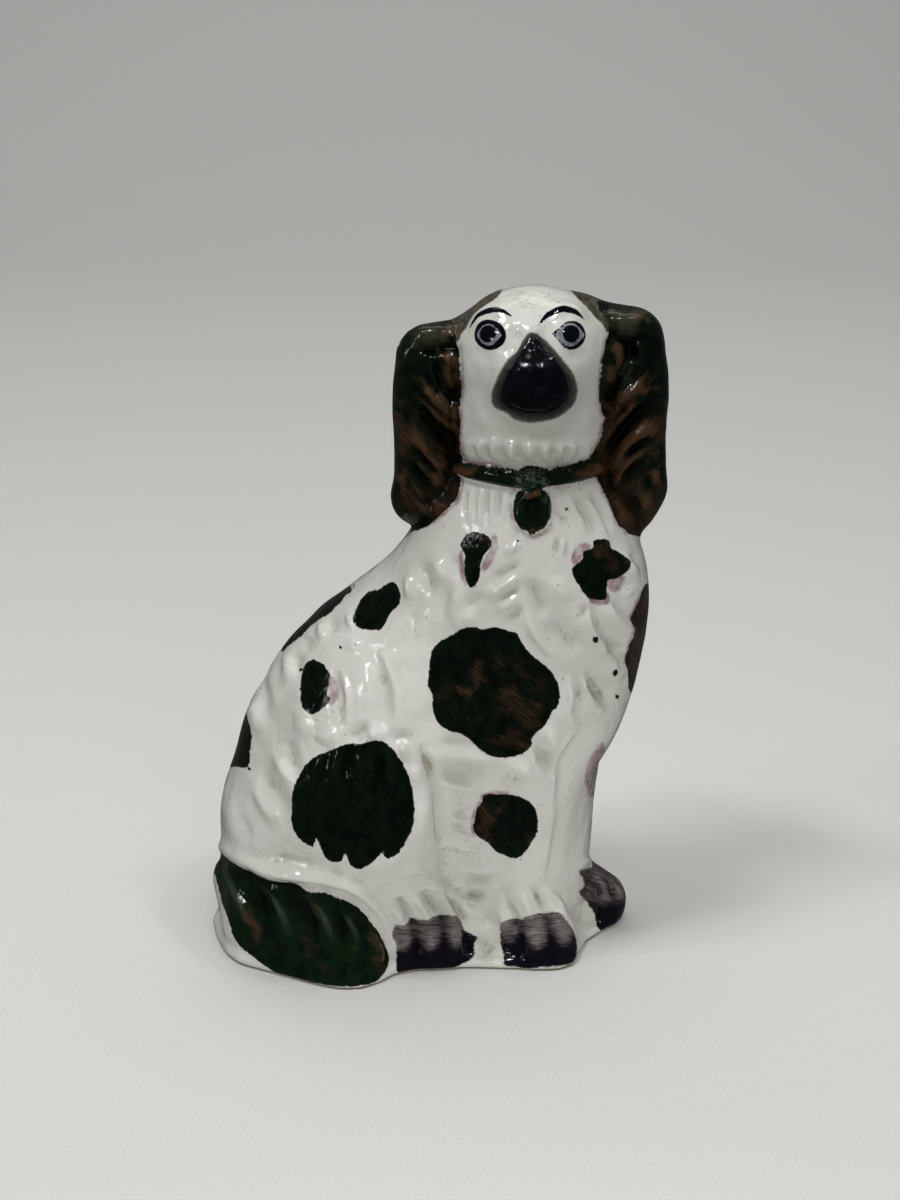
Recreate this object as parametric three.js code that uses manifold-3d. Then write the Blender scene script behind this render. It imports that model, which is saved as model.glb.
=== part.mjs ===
// Seated spaniel, press-moulded glazed earthenware.
// Millimetres, +Z up, the face looks along -Y and the chest is to +X.
// The figure is two pressed clay half-shells (front and back) joined at the
// parting seam, closed underneath by a clay slab with a firing vent, with a
// roll of clay pressed along the inside of each joint.
import * as THREE from 'three';
import { mergeVertices } from 'three/addons/utils/BufferGeometryUtils.js';
import Module from 'manifold-3d';

// ---- driving dimensions ---------------------------------------------------
const WALL = 5;              // pressed clay wall of the shells
const JOINT = 0.3;           // clearance kept between neighbouring pieces
const PARTING_Y = 7.1;         // plane of the front/back seam
const BACK_Y = 36.6;            // the back of the figure is pressed nearly flat here
const BACK_SOFT = 14;        // how softly the flat back rolls into the sides
const SLAB_T = 5;            // thickness of the closing slab
const VENT_R = 3.5;          // radius of the firing vent in the slab
const VENT_AT = [8, 2];      // where the vent is
const ROLL_T = 3.6;          // thickness of the clay rolls inside the joints
const ROLL_W = 8;            // width of the seam roll
const BASE_ROLL_H = 6;       // height of the roll along the slab joint
const ROLL_GAP = 1.4;        // mean clearance between a roll and the shell wall
const CELL = 4.3;             // facet size outside
const CELL_IN = 7.5;          // facet size inside
const COLLAR_Z = 150;        // middle height of the modelled collar
const COLLAR_H = 3.6;        // width of the collar band
const COLLAR_PROUD = 1.1;    // how far the collar stands off the neck
const LOCKET_R = [5.6, 2.2, 6.9]; // half width, depth and height of the locket

// ---- body forms -----------------------------------------------------------
// Rounded volumes that flow into each other over the distance "blend".
const TORSO = [
  { op: 'add', kind: 'taper', from: [19.85, 7.6, 117.74], r1: 24, to: [-8.42, 9.6, 65.88], r2: 39, blend: 10 },
  { op: 'add', kind: 'taper', from: [-8.42, 9.6, 65.88], r1: 39, to: [-24.89, 7.6, 35.01], r2: 36.5, blend: 14 },
  { op: 'add', kind: 'taper', from: [-24.89, 7.6, 35.01], r1: 36.5, to: [-29.83, 5.6, -3.84], r2: 34, blend: 14 },
  { op: 'add', kind: 'ellipsoid', at: [-29.03, 7.6, 59.5], radii: [27, 19, 28], turn: [0, 0, 0], blend: 8 },
  { op: 'add', kind: 'ellipsoid', at: [17.69, 1.6, 75.82], radii: [33, 25, 38], turn: [0, 10, 0], blend: 14 },
  { op: 'add', kind: 'ellipsoid', at: [6, 11.6, 42], radii: [38, 24, 46], turn: [0, 0, 0], blend: 14 },
  { op: 'add', kind: 'block', at: [-10, 6.6, 6], half: [50, 25, 14], edge: 13, turn: [0, 0, 0], blend: 14 },
];
const CHEST = [
  { op: 'add', kind: 'ellipsoid', at: [38.14, 4.6, 102.61], radii: [24.8, 29, 36], turn: [0, 0, 0], blend: 14 },
  { op: 'add', kind: 'ellipsoid', at: [26.6, -0.4, 117.42], radii: [31, 25, 30], turn: [0, 0, 0], blend: 12 },
  { op: 'add', kind: 'ellipsoid', at: [37.36, 3.6, 78.2], radii: [15.5, 24, 24], turn: [0, 0, 0], blend: 12 },
];
const HAUNCH = [
  { op: 'add', kind: 'ellipsoid', at: [-20.52, -18.4, 50.04], radii: [27, 17.5, 27], turn: [0, -12, 0], blend: 3.5 },
];
const HIND_FOOT = [
  { op: 'add', kind: 'taper', from: [-16.1, -8.4, 7.48], r1: 11, to: [-3.88, -12.4, 6.29], r2: 10, blend: 6 },
  { op: 'add', kind: 'ellipsoid', at: [1.28, -14.4, 5.36], radii: [12, 11.5, 9.5], turn: [0, 0, 0], blend: 4 },
];
const NEAR_FORELEG = [
  { op: 'add', kind: 'taper', from: [28.13, -6.4, 72.82], r1: 14, to: [28.6, -5.4, 17.83], r2: 11, blend: 8 },
  { op: 'add', kind: 'block', at: [26.52, 1.6, 32.9], half: [16, 13.5, 40], edge: 10, turn: [0, 0, 0], blend: 8 },
  { op: 'add', kind: 'taper', from: [27.67, -7.4, 13.79], r1: 10, to: [32.68, -14.4, 4.68], r2: 11, blend: 5 },
];
const FAR_FORELEG = [
  { op: 'add', kind: 'taper', from: [40.79, 9.6, 57.61], r1: 8.6, to: [40.52, 11.6, 14.01], r2: 6.3, blend: 5 },
  { op: 'add', kind: 'taper', from: [36.22, 4.6, 61.5], r1: 11, to: [37.02, 3.6, 13.02], r2: 10, blend: 6 },
  { op: 'add', kind: 'taper', from: [43.47, 12.6, 9.98], r1: 8.5, to: [51.68, 7.6, 6.69], r2: 8.2, blend: 4 },
];
const HEAD = [
  { op: 'add', kind: 'ellipsoid', at: [28.42, 2.6, 180.93], radii: [21.6, 22, 17.9], turn: [0, 0, 0], blend: 8 },
  { op: 'add', kind: 'ellipsoid', at: [28.4, 2.6, 182.35], radii: [20.6, 20, 15.6], turn: [0, 0, 0], blend: 4 },
  { op: 'add', kind: 'ellipsoid', at: [27.93, -0.4, 167.9], radii: [21, 19, 20], turn: [0, 0, 0], blend: 6 },
  { op: 'add', kind: 'ellipsoid', at: [27.98, -1.9, 160.2], radii: [20.5, 18.5, 15], turn: [0, 0, 0], blend: 6 },
  { op: 'add', kind: 'taper', from: [28.54, 3.6, 155.19], r1: 20, to: [28.3, 3.6, 131.31], r2: 24, blend: 8 },
];
const MUZZLE = [
  { op: 'add', kind: 'taper', from: [27.78, -12.4, 184.93], r1: 4.5, to: [28.08, -14.9, 176.07], r2: 10, blend: 7 },
];
const EARS = [
  { op: 'add', kind: 'block', at: [-1.35, 5.6, 159.06], half: [9, 8.5, 27.5], edge: 7, turn: [0, 2, 0], blend: 2.5 },
  { op: 'add', kind: 'block', at: [57.02, 6.6, 162.91], half: [9.2, 9, 28.3], edge: 7, turn: [0, -3.2, 0], blend: 2.5 },
  { op: 'add', kind: 'ellipsoid', at: [57.72, 5.6, 137.63], radii: [8.2, 7, 11], turn: [0, 8, 0], blend: 4 },
  { op: 'add', kind: 'ellipsoid', at: [-4.9, 5.6, 137.03], radii: [6.3, 6.5, 7], turn: [0, 0, 0], blend: 3 },
  { op: 'add', kind: 'taper', from: [10.82, 5.6, 183.39], r1: 7, to: [2.39, 5.6, 181.67], r2: 6.4, blend: 4 },
  { op: 'add', kind: 'taper', from: [43.01, 5.6, 187.37], r1: 8, to: [53.8, 6.6, 185.16], r2: 7.2, blend: 5 },
];
const TAIL = [
  { op: 'add', kind: 'taper', from: [-59.17, 2.6, 15.98], r1: 8.5, to: [-49.85, -11.4, 9.83], r2: 13, blend: 3 },
  { op: 'add', kind: 'taper', from: [-49.85, -11.4, 9.83], r1: 13, to: [-26.62, -23.4, 6.42], r2: 12.5, blend: 3 },
];
const HOLLOWS = [
  { op: 'carve', kind: 'ellipsoid', at: [10.86, -38.4, 50.38], radii: [7, 14, 26], turn: [0, 0, 0], blend: 6 },
];
const PLINTH = [
  { op: 'add', kind: 'outline', points: [[-68.2, 1.9], [-66, -7.4], [-61.9, -17], [-57.6, -22.3], [-45.1, -28.6], [-35.9, -33.2], [-27, -36.4], [-21.1, -36.4], [-15.4, -33.2], [-11.1, -28.6], [-3.7, -25.5], [8.2, -24.6], [20.1, -25.2], [29, -25.5], [37.9, -25.2], [42, -22.3], [43.7, -16.4], [47.2, -8.9], [51.4, -3.7], [56.4, 1.9], [58.9, 8.2], [58.5, 15.6], [54, 24.6], [44, 31.6], [22, 35.6], [-18, 36.6], [-43, 35.6], [-58, 29.6], [-66, 17.6]], z0: -6, z1: 3, edge: 1.5, blend: 4 },
];

const OUTSIDE = [TORSO, CHEST, HAUNCH, HIND_FOOT, NEAR_FORELEG, FAR_FORELEG, HEAD, MUZZLE, EARS, TAIL, HOLLOWS, PLINTH].flat();
// the ears, muzzle, feet, tail and legs were pressed solid
const INSIDE = [TORSO, CHEST, HEAD, HOLLOWS].flat();

// ---- distance functions ---------------------------------------------------
for (const f of new Set([...OUTSIDE, ...INSIDE])) {
  if (f.turn) {
    const e = new THREE.Euler(...f.turn.map(THREE.MathUtils.degToRad), 'ZYX');
    f.inv = new THREE.Matrix3().setFromMatrix4(new THREE.Matrix4().makeRotationFromEuler(e)).transpose().elements;
  }
}
const local = (f, x, y, z) => {
  const m = f.inv, dx = x - f.at[0], dy = y - f.at[1], dz = z - f.at[2];
  return [m[0] * dx + m[3] * dy + m[6] * dz, m[1] * dx + m[4] * dy + m[7] * dz, m[2] * dx + m[5] * dy + m[8] * dz];
};
const DIST = {
  ellipsoid(f, x, y, z) {
    const [a, b, c] = local(f, x, y, z), [rx, ry, rz] = f.radii;
    const k0 = Math.hypot(a / rx, b / ry, c / rz), k1 = Math.hypot(a / rx / rx, b / ry / ry, c / rz / rz);
    return k1 > 1e-9 ? k0 * (k0 - 1) / k1 : -Math.min(rx, ry, rz);
  },
  block(f, x, y, z) {
    const q = local(f, x, y, z).map((v, i) => Math.abs(v) - (f.half[i] - f.edge));
    return Math.hypot(Math.max(q[0], 0), Math.max(q[1], 0), Math.max(q[2], 0)) + Math.min(Math.max(q[0], q[1], q[2]), 0) - f.edge;
  },
  taper(f, x, y, z) {
    const a = f.from, b = f.to, r1 = f.r1, r2 = f.r2;
    const ba = [b[0] - a[0], b[1] - a[1], b[2] - a[2]], l2 = ba[0] ** 2 + ba[1] ** 2 + ba[2] ** 2;
    const rr = r1 - r2, a2 = l2 - rr * rr, il2 = 1 / l2;
    const pa = [x - a[0], y - a[1], z - a[2]];
    const t = pa[0] * ba[0] + pa[1] * ba[1] + pa[2] * ba[2], s = t - l2;
    const v = [pa[0] * l2 - ba[0] * t, pa[1] * l2 - ba[1] * t, pa[2] * l2 - ba[2] * t];
    const x2 = v[0] ** 2 + v[1] ** 2 + v[2] ** 2, t2 = t * t * l2, s2 = s * s * l2;
    const k = Math.sign(rr) * rr * rr * x2;
    if (Math.sign(s) * a2 * s2 > k) return Math.sqrt(x2 + s2) * il2 - r2;
    if (Math.sign(t) * a2 * t2 < k) return Math.sqrt(x2 + t2) * il2 - r1;
    return (Math.sqrt(x2 * a2 * il2) + t * rr) * il2 - r1;
  },
  outline(f, x, y, z) {
    const v = f.points, n = v.length;
    let d = (x - v[0][0]) ** 2 + (y - v[0][1]) ** 2, s = 1;
    for (let i = 0, j = n - 1; i < n; j = i, i++) {
      const ex = v[j][0] - v[i][0], ey = v[j][1] - v[i][1], wx = x - v[i][0], wy = y - v[i][1];
      const t = Math.min(Math.max((wx * ex + wy * ey) / (ex * ex + ey * ey), 0), 1);
      d = Math.min(d, (wx - ex * t) ** 2 + (wy - ey * t) ** 2);
      const c1 = y >= v[i][1], c2 = y < v[j][1], c3 = ex * wy > ey * wx;
      if ((c1 && c2 && c3) || (!c1 && !c2 && !c3)) s = -s;
    }
    const d2 = s * Math.sqrt(d) + f.edge, dz = Math.abs(z - (f.z0 + f.z1) / 2) - (f.z1 - f.z0) / 2 + f.edge;
    return Math.min(Math.max(d2, dz), 0) + Math.hypot(Math.max(d2, 0), Math.max(dz, 0)) - f.edge;
  },
};
const softMin = (a, b, k) => { const h = Math.max(k - Math.abs(a - b), 0) / k; return Math.min(a, b) - h * h * k / 4; };
const softMax = (a, b, k) => -softMin(-a, -b, k);
function distance(forms, x, y, z) {
  let d;
  for (const f of forms) {
    const v = DIST[f.kind](f, x, y, z);
    d = d === undefined ? v : f.op === 'carve' ? softMax(d, -v, f.blend) : softMin(d, v, f.blend);
  }
  return softMax(d, y - BACK_Y, BACK_SOFT);
}
const outer = (x, y, z) => Math.max(distance(OUTSIDE, x, y, z), -5.5 - z); // trimmed flat at z = 0 later
// the plain inside of the shell, at a depth below the skin
const inner = (depth) => (x, y, z) => Math.max(distance(INSIDE, x, y, z) + depth, -4.5 - z);

// ---- surface of a distance field as one closed mesh ------------------------
function skin(fn, cell, lo, hi) {
  const n = [0, 1, 2].map((i) => Math.ceil((hi[i] - lo[i]) / cell) + 1);
  const at = (i, j, k) => (i * n[1] + j) * n[2] + k;
  const val = new Float64Array(n[0] * n[1] * n[2]);
  for (let i = 0; i < n[0]; i++) for (let j = 0; j < n[1]; j++) for (let k = 0; k < n[2]; k++)
    val[at(i, j, k)] = fn(lo[0] + i * cell, lo[1] + j * cell, lo[2] + k * cell);
  const id = new Int32Array(val.length).fill(-1), pts = [], tri = [];
  for (let i = 0; i < n[0] - 1; i++) for (let j = 0; j < n[1] - 1; j++) for (let k = 0; k < n[2] - 1; k++) {
    let m = 0; const s = [0, 0, 0];
    const corner = (c) => [i + (c & 1), j + ((c >> 1) & 1), k + ((c >> 2) & 1)];
    for (let c = 0; c < 8; c++) for (const b of [1, 2, 4]) if (!(c & b)) {
      const p = corner(c), q = corner(c | b), va = val[at(...p)], vb = val[at(...q)];
      if ((va < 0) !== (vb < 0)) { const t = va / (va - vb); for (let a = 0; a < 3; a++) s[a] += p[a] + (q[a] - p[a]) * t; m++; }
    }
    if (m) { id[at(i, j, k)] = pts.length / 3; pts.push(lo[0] + s[0] / m * cell, lo[1] + s[1] / m * cell, lo[2] + s[2] / m * cell); }
  }
  // settle every vertex on the surface
  const e = 0.05;
  for (let v = 0; v < pts.length; v += 3) for (let it = 0; it < 3; it++) {
    const [x, y, z] = [pts[v], pts[v + 1], pts[v + 2]], d = fn(x, y, z);
    const g = [fn(x + e, y, z) - fn(x - e, y, z), fn(x, y + e, z) - fn(x, y - e, z), fn(x, y, z + e) - fn(x, y, z - e)].map((w) => w / (2 * e));
    const gg = Math.max(g[0] ** 2 + g[1] ** 2 + g[2] ** 2, 0.25), step = Math.max(-cell * 0.3, Math.min(cell * 0.3, d)) / gg;
    for (let a = 0; a < 3; a++) pts[v + a] -= g[a] * step;
  }
  const quad = (a, b, c, d, flip) => {
    if (a < 0 || b < 0 || c < 0 || d < 0) throw new Error('surface leaves the grid');
    const q = flip ? [a, d, c, b] : [a, b, c, d];
    const len = (u, w) => Math.hypot(pts[u * 3] - pts[w * 3], pts[u * 3 + 1] - pts[w * 3 + 1], pts[u * 3 + 2] - pts[w * 3 + 2]);
    if (len(q[0], q[2]) <= len(q[1], q[3])) tri.push(q[0], q[1], q[2], q[0], q[2], q[3]);
    else tri.push(q[0], q[1], q[3], q[1], q[2], q[3]);
  };
  for (let i = 1; i < n[0] - 1; i++) for (let j = 1; j < n[1] - 1; j++) for (let k = 1; k < n[2] - 1; k++) {
    const v0 = val[at(i, j, k)] < 0;
    if (v0 !== (val[at(i + 1, j, k)] < 0)) quad(id[at(i, j - 1, k - 1)], id[at(i, j, k - 1)], id[at(i, j, k)], id[at(i, j - 1, k)], !v0);
    if (v0 !== (val[at(i, j + 1, k)] < 0)) quad(id[at(i - 1, j, k - 1)], id[at(i - 1, j, k)], id[at(i, j, k)], id[at(i, j, k - 1)], !v0);
    if (v0 !== (val[at(i, j, k + 1)] < 0)) quad(id[at(i - 1, j - 1, k)], id[at(i, j - 1, k)], id[at(i, j, k)], id[at(i - 1, j, k)], !v0);
  }
  const g = new THREE.BufferGeometry();
  g.setAttribute('position', new THREE.BufferAttribute(new Float32Array(pts), 3));
  g.setIndex(tri);
  return g;
}

// ---- joining and cutting ---------------------------------------------------
const wasm = await Module();
wasm.setup();
function solid(geometry) {
  let g = geometry.clone();
  g.deleteAttribute('normal'); g.deleteAttribute('uv');
  g = mergeVertices(g, 1e-4);
  return new wasm.Manifold(new wasm.Mesh({ numProp: 3, vertProperties: new Float32Array(g.attributes.position.array), triVerts: new Uint32Array(g.index.array) }));
}
function box(x0, x1, y0, y1, z0, z1) {
  return solid(new THREE.BoxGeometry(x1 - x0, y1 - y0, z1 - z0).translate((x0 + x1) / 2, (y0 + y1) / 2, (z0 + z1) / 2));
}
function geometry(m) {
  const mesh = m.getMesh(), p = Float32Array.from(mesh.vertProperties), t = mesh.triVerts, n = p.length / 3;
  // close up the hair-thin slivers that a cut leaves along its edge
  const to = Int32Array.from({ length: n }, (_, i) => i), root = (i) => { while (to[i] !== i) i = to[i]; return i; };
  for (let i = 0; i < t.length; i += 3) for (let a = 0; a < 3; a++) {
    const u = root(t[i + a]), v = root(t[i + (a + 1) % 3]);
    if (u !== v && Math.hypot(p[u * 3] - p[v * 3], p[u * 3 + 1] - p[v * 3 + 1], p[u * 3 + 2] - p[v * 3 + 2]) < SLIVER) to[Math.max(u, v)] = Math.min(u, v);
  }
  const idx = [];
  for (let i = 0; i < t.length; i += 3) {
    const [a, b, c] = [root(t[i]), root(t[i + 1]), root(t[i + 2])];
    if (a !== b && b !== c && c !== a) idx.push(a, b, c);
  }
  const g = new THREE.BufferGeometry();
  g.setAttribute('position', new THREE.BufferAttribute(p, 3));
  g.setIndex(idx);
  g.computeVertexNormals();
  return g;
}
const LO = [-84, -60, -16], HI = [84, 56, 212];
const BIG = 200, SLIVER = 0.02;
const below = (z) => box(-BIG, BIG, -BIG, BIG, -BIG, z);
const above = (z) => box(-BIG, BIG, -BIG, BIG, z, 2 * BIG);
const frontOf = (y) => box(-BIG, BIG, -BIG, y, -BIG, 2 * BIG);
const behind = (y) => box(-BIG, BIG, y, BIG, -BIG, 2 * BIG);

// collar: a band that follows the neck, and the locket that hangs on it
function collar() {
  const pts = [], axis = NECK_AXIS;
  for (let i = 0; i < 40; i++) {
    const a = i / 40 * 2 * Math.PI, c = Math.cos(a), s = Math.sin(a);
    let lo = 2, hi = 60;
    for (let it = 0; it < 40; it++) { const m = (lo + hi) / 2; if (distance(HEAD.concat(CHEST), axis[0] + c * m, axis[1] + s * m, COLLAR_Z) < 0) lo = m; else hi = m; }
    const r = lo + COLLAR_PROUD - COLLAR_H / 2;
    pts.push(new THREE.Vector3(axis[0] + c * r, axis[1] + s * r, COLLAR_Z));
  }
  const curve = new THREE.CatmullRomCurve3(pts, true);
  const around = 40, sides = 6, pos = [], idx = [], R = COLLAR_H / 2 / Math.cos(Math.PI / sides);
  for (let i = 0; i < around; i++) {
    const p = curve.getPoint(i / around), t = curve.getTangent(i / around), out = new THREE.Vector3(t.y, -t.x, 0).normalize();
    for (let j = 0; j < sides; j++) {
      const a = (j + 0.5) / sides * 2 * Math.PI, u = Math.cos(a) * R, w = Math.sin(a) * R;
      pos.push(p.x + out.x * u, p.y + out.y * u, p.z + w);
    }
  }
  for (let i = 0; i < around; i++) for (let j = 0; j < sides; j++) {
    const i2 = (i + 1) % around, j2 = (j + 1) % sides;
    const a = i * sides + j, b = i2 * sides + j, c = i2 * sides + j2, d = i * sides + j2;
    idx.push(a, b, c, a, c, d);
  }
  const g = new THREE.BufferGeometry();
  g.setAttribute('position', new THREE.BufferAttribute(new Float32Array(pos), 3));
  g.setIndex(idx);
  return g;
}
const NECK_AXIS = [28.4, 3.6];
const LOCKET_AT = [27.8, -20, 141.8];
const locket = new THREE.SphereGeometry(1, 14, 9).scale(...LOCKET_R).translate(...LOCKET_AT);

const body = solid(skin(outer, CELL, LO, HI)).add(solid(collar())).add(solid(locket)).subtract(below(0));
const cavity = solid(skin(inner(WALL), CELL_IN, LO, HI));
const rollOut = solid(skin(inner(WALL + ROLL_GAP), CELL_IN, LO, HI));
const rollIn = solid(skin(inner(WALL + ROLL_GAP + ROLL_T), CELL_IN, LO, HI));

const shell = body.subtract(cavity).intersect(above(SLAB_T + JOINT));
const frontHalf = shell.intersect(frontOf(PARTING_Y - JOINT / 2));
const backHalf = shell.intersect(behind(PARTING_Y + JOINT / 2));
const vent = solid(new THREE.CylinderGeometry(VENT_R, VENT_R, SLAB_T * 3, 20).rotateX(Math.PI / 2).translate(VENT_AT[0], VENT_AT[1], SLAB_T / 2));
const slab = body.intersect(below(SLAB_T)).subtract(vent);
const lining = rollOut.subtract(rollIn);
const rollTop = SLAB_T + 2 * JOINT + BASE_ROLL_H;
const baseRoll = lining.intersect(box(-BIG, BIG, -BIG, BIG, SLAB_T + JOINT, rollTop));
const seamRoll = lining.intersect(box(-BIG, BIG, PARTING_Y - ROLL_W / 2, PARTING_Y + ROLL_W / 2, rollTop + JOINT, 2 * BIG));

// ---- assembly ---------------------------------------------------------------
const white = { color: 0xd6d5cc, roughness: 0.18, metalness: 0 };
const biscuit = { color: 0xcdbf9f, roughness: 0.8, metalness: 0 };
const figure = new THREE.Group();
figure.name = 'spaniel_figure';
function place(name, m, look) {
  const mesh = new THREE.Mesh(geometry(m), new THREE.MeshStandardMaterial(look));
  mesh.name = name;
  figure.add(mesh);
}
place('front_half', frontHalf, white);
place('back_half', backHalf, white);
place('base_slab', slab, biscuit);
place('seam_roll', seamRoll, biscuit);
place('base_roll', baseRoll, biscuit);

export default figure;
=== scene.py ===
import math
import bpy
import numpy as np
from mathutils import Vector, Matrix


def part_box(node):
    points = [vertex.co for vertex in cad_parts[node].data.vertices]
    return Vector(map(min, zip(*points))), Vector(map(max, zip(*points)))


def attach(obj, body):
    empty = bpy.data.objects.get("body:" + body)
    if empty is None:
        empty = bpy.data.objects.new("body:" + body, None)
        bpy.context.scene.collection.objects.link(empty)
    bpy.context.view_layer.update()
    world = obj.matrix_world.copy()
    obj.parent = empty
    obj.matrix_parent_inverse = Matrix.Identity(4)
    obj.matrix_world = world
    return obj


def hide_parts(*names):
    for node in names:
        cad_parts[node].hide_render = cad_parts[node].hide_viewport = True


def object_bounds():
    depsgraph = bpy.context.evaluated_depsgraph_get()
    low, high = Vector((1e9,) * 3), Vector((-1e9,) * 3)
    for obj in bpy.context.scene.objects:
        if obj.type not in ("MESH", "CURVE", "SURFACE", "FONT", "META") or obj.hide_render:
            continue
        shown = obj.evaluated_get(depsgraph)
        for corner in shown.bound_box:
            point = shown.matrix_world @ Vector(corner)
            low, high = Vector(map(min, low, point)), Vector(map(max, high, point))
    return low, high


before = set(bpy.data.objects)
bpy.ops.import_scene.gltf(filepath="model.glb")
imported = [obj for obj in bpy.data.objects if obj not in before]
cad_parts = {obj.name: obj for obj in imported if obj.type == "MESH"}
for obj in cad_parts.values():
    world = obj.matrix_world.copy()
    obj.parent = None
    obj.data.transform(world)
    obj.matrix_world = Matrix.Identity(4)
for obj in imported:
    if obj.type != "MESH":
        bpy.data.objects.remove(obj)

CAD_BOX = [list(v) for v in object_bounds()]
MM = 1000.0
FRONT = [np.array(v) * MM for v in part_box("front_half")]
BACK = [np.array(v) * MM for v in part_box("back_half")]
SLAB = [np.array(v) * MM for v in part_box("base_slab")]
PART_Y = float(FRONT[1][1] + BACK[0][1]) / 2      # where the two mould halves meet
BACK_Y = float(BACK[1][1])                        # flat back
SLAB_Z = float(SLAB[1][2] + min(FRONT[0][2], BACK[0][2])) / 2
SOFT_BACK = 14.0
FOOT_ROUND = 2.0
SHEET_Y = 5.6                 # upright sheet on which relief and decoration are laid out
EYE_AT = (5.2, -546.94, 307.11)   # point from which the sheet is carried onto the front half
STEP = 0.74                   # mesh step
VENT = (8.0, 2.0, 3.5, 6.4)   # x, y, radius, depth of the firing vent

FORMS = [
    # torso
    ('add', 'taper', (19.85, 7.6, 117.74), 24, (-8.42, 9.6, 65.88), 39, 10),
    ('add', 'taper', (-8.42, 9.6, 65.88), 39, (-24.89, 7.6, 35.01), 36.5, 14),
    ('add', 'taper', (-24.89, 7.6, 35.01), 36.5, (-29.83, 5.6, -3.84), 34, 14),
    ('add', 'ellipsoid', (-29.03, 7.6, 59.5), (27, 19, 28), (0, 0, 0), 8),
    ('add', 'ellipsoid', (17.69, 1.6, 75.82), (33, 25, 38), (0, 10, 0), 14),
    ('add', 'ellipsoid', (6, 11.6, 42), (38, 24, 46), (0, 0, 0), 14),
    ('add', 'block', (-10, 6.6, 6), (50, 25, 14), 13, (0, 0, 0), 14),
    # chest
    ('add', 'ellipsoid', (38.14, 4.6, 102.61), (24.8, 29, 36), (0, 0, 0), 14),
    ('add', 'ellipsoid', (26.6, -0.4, 117.42), (31, 25, 30), (0, 0, 0), 12),
    ('add', 'ellipsoid', (37.36, 3.6, 78.2), (15.5, 24, 24), (0, 0, 0), 12),
    # haunch
    ('add', 'ellipsoid', (-20.52, -18.4, 50.04), (27, 17.5, 27), (0, -12, 0), 3.5),
    # hind foot
    ('add', 'taper', (-16.1, -8.4, 7.48), 11, (-3.88, -12.4, 6.29), 10, 6),
    ('add', 'ellipsoid', (1.28, -14.4, 5.36), (12, 11.5, 9.5), (0, 0, 0), 4),
    # near foreleg
    ('add', 'taper', (28.13, -6.4, 72.82), 14, (28.6, -5.4, 17.83), 11, 8),
    ('add', 'block', (26.52, 1.6, 32.9), (16, 13.5, 40), 10, (0, 0, 0), 8),
    ('add', 'taper', (27.67, -7.4, 13.79), 10, (32.68, -14.4, 4.68), 11, 5),
    # far foreleg
    ('add', 'taper', (40.79, 9.6, 57.61), 8.6, (40.52, 11.6, 14.01), 6.3, 5),
    ('add', 'taper', (36.22, 4.6, 61.5), 11, (37.02, 3.6, 13.02), 10, 6),
    ('add', 'taper', (43.47, 12.6, 9.98), 8.5, (51.68, 7.6, 6.69), 8.2, 4),
    # head
    ('add', 'ellipsoid', (28.42, 2.6, 180.93), (21.6, 22, 17.9), (0, 0, 0), 8),
    ('add', 'ellipsoid', (28.4, 2.6, 182.35), (20.6, 20, 15.6), (0, 0, 0), 4),
    ('add', 'ellipsoid', (27.93, -0.4, 167.9), (21, 19, 20), (0, 0, 0), 6),
    ('add', 'ellipsoid', (27.98, -1.9, 160.2), (20.5, 18.5, 15), (0, 0, 0), 6),
    ('add', 'taper', (28.54, 3.6, 155.19), 20, (28.3, 3.6, 131.31), 24, 8),
    # muzzle
    ('add', 'taper', (27.78, -12.4, 184.93), 4.5, (28.08, -14.9, 176.07), 10, 7),
    # ears
    ('add', 'block', (-1.35, 5.6, 159.06), (9, 8.5, 27.5), 7, (0, 2, 0), 2.5),
    ('add', 'block', (57.02, 6.6, 162.91), (9.2, 9, 28.3), 7, (0, -3.2, 0), 2.5),
    ('add', 'ellipsoid', (57.72, 5.6, 137.63), (8.2, 7, 11), (0, 8, 0), 4),
    ('add', 'ellipsoid', (-4.9, 5.6, 137.03), (6.3, 6.5, 7), (0, 0, 0), 3),
    ('add', 'taper', (10.82, 5.6, 183.39), 7, (2.39, 5.6, 181.67), 6.4, 4),
    ('add', 'taper', (43.01, 5.6, 187.37), 8, (53.8, 6.6, 185.16), 7.2, 5),
    # tail
    ('add', 'taper', (-59.17, 2.6, 15.98), 8.5, (-49.85, -11.4, 9.83), 13, 3),
    ('add', 'taper', (-49.85, -11.4, 9.83), 13, (-26.62, -23.4, 6.42), 12.5, 3),
    # hollows
    ('cut', 'ellipsoid', (10.86, -38.4, 50.38), (7, 14, 26), (0, 0, 0), 6),
    # base
    ('add', 'outline', [(-68.2, 1.9), (-66, -7.4), (-61.9, -17), (-57.6, -22.3), (-45.1, -28.6), (-35.9, -33.2), (-27, -36.4), (-21.1, -36.4), (-15.4, -33.2), (-11.1, -28.6), (-3.7, -25.5), (8.2, -24.6), (20.1, -25.2), (29, -25.5), (37.9, -25.2), (42, -22.3), (43.7, -16.4), (47.2, -8.9), (51.4, -3.7), (56.4, 1.9), (58.9, 8.2), (58.5, 15.6), (54, 24.6), (44, 31.6), (22, 35.6), (-18, 36.6), (-43, 35.6), (-58, 29.6), (-66, 17.6)], -6, 3, 1.5, 4),
]

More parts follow.
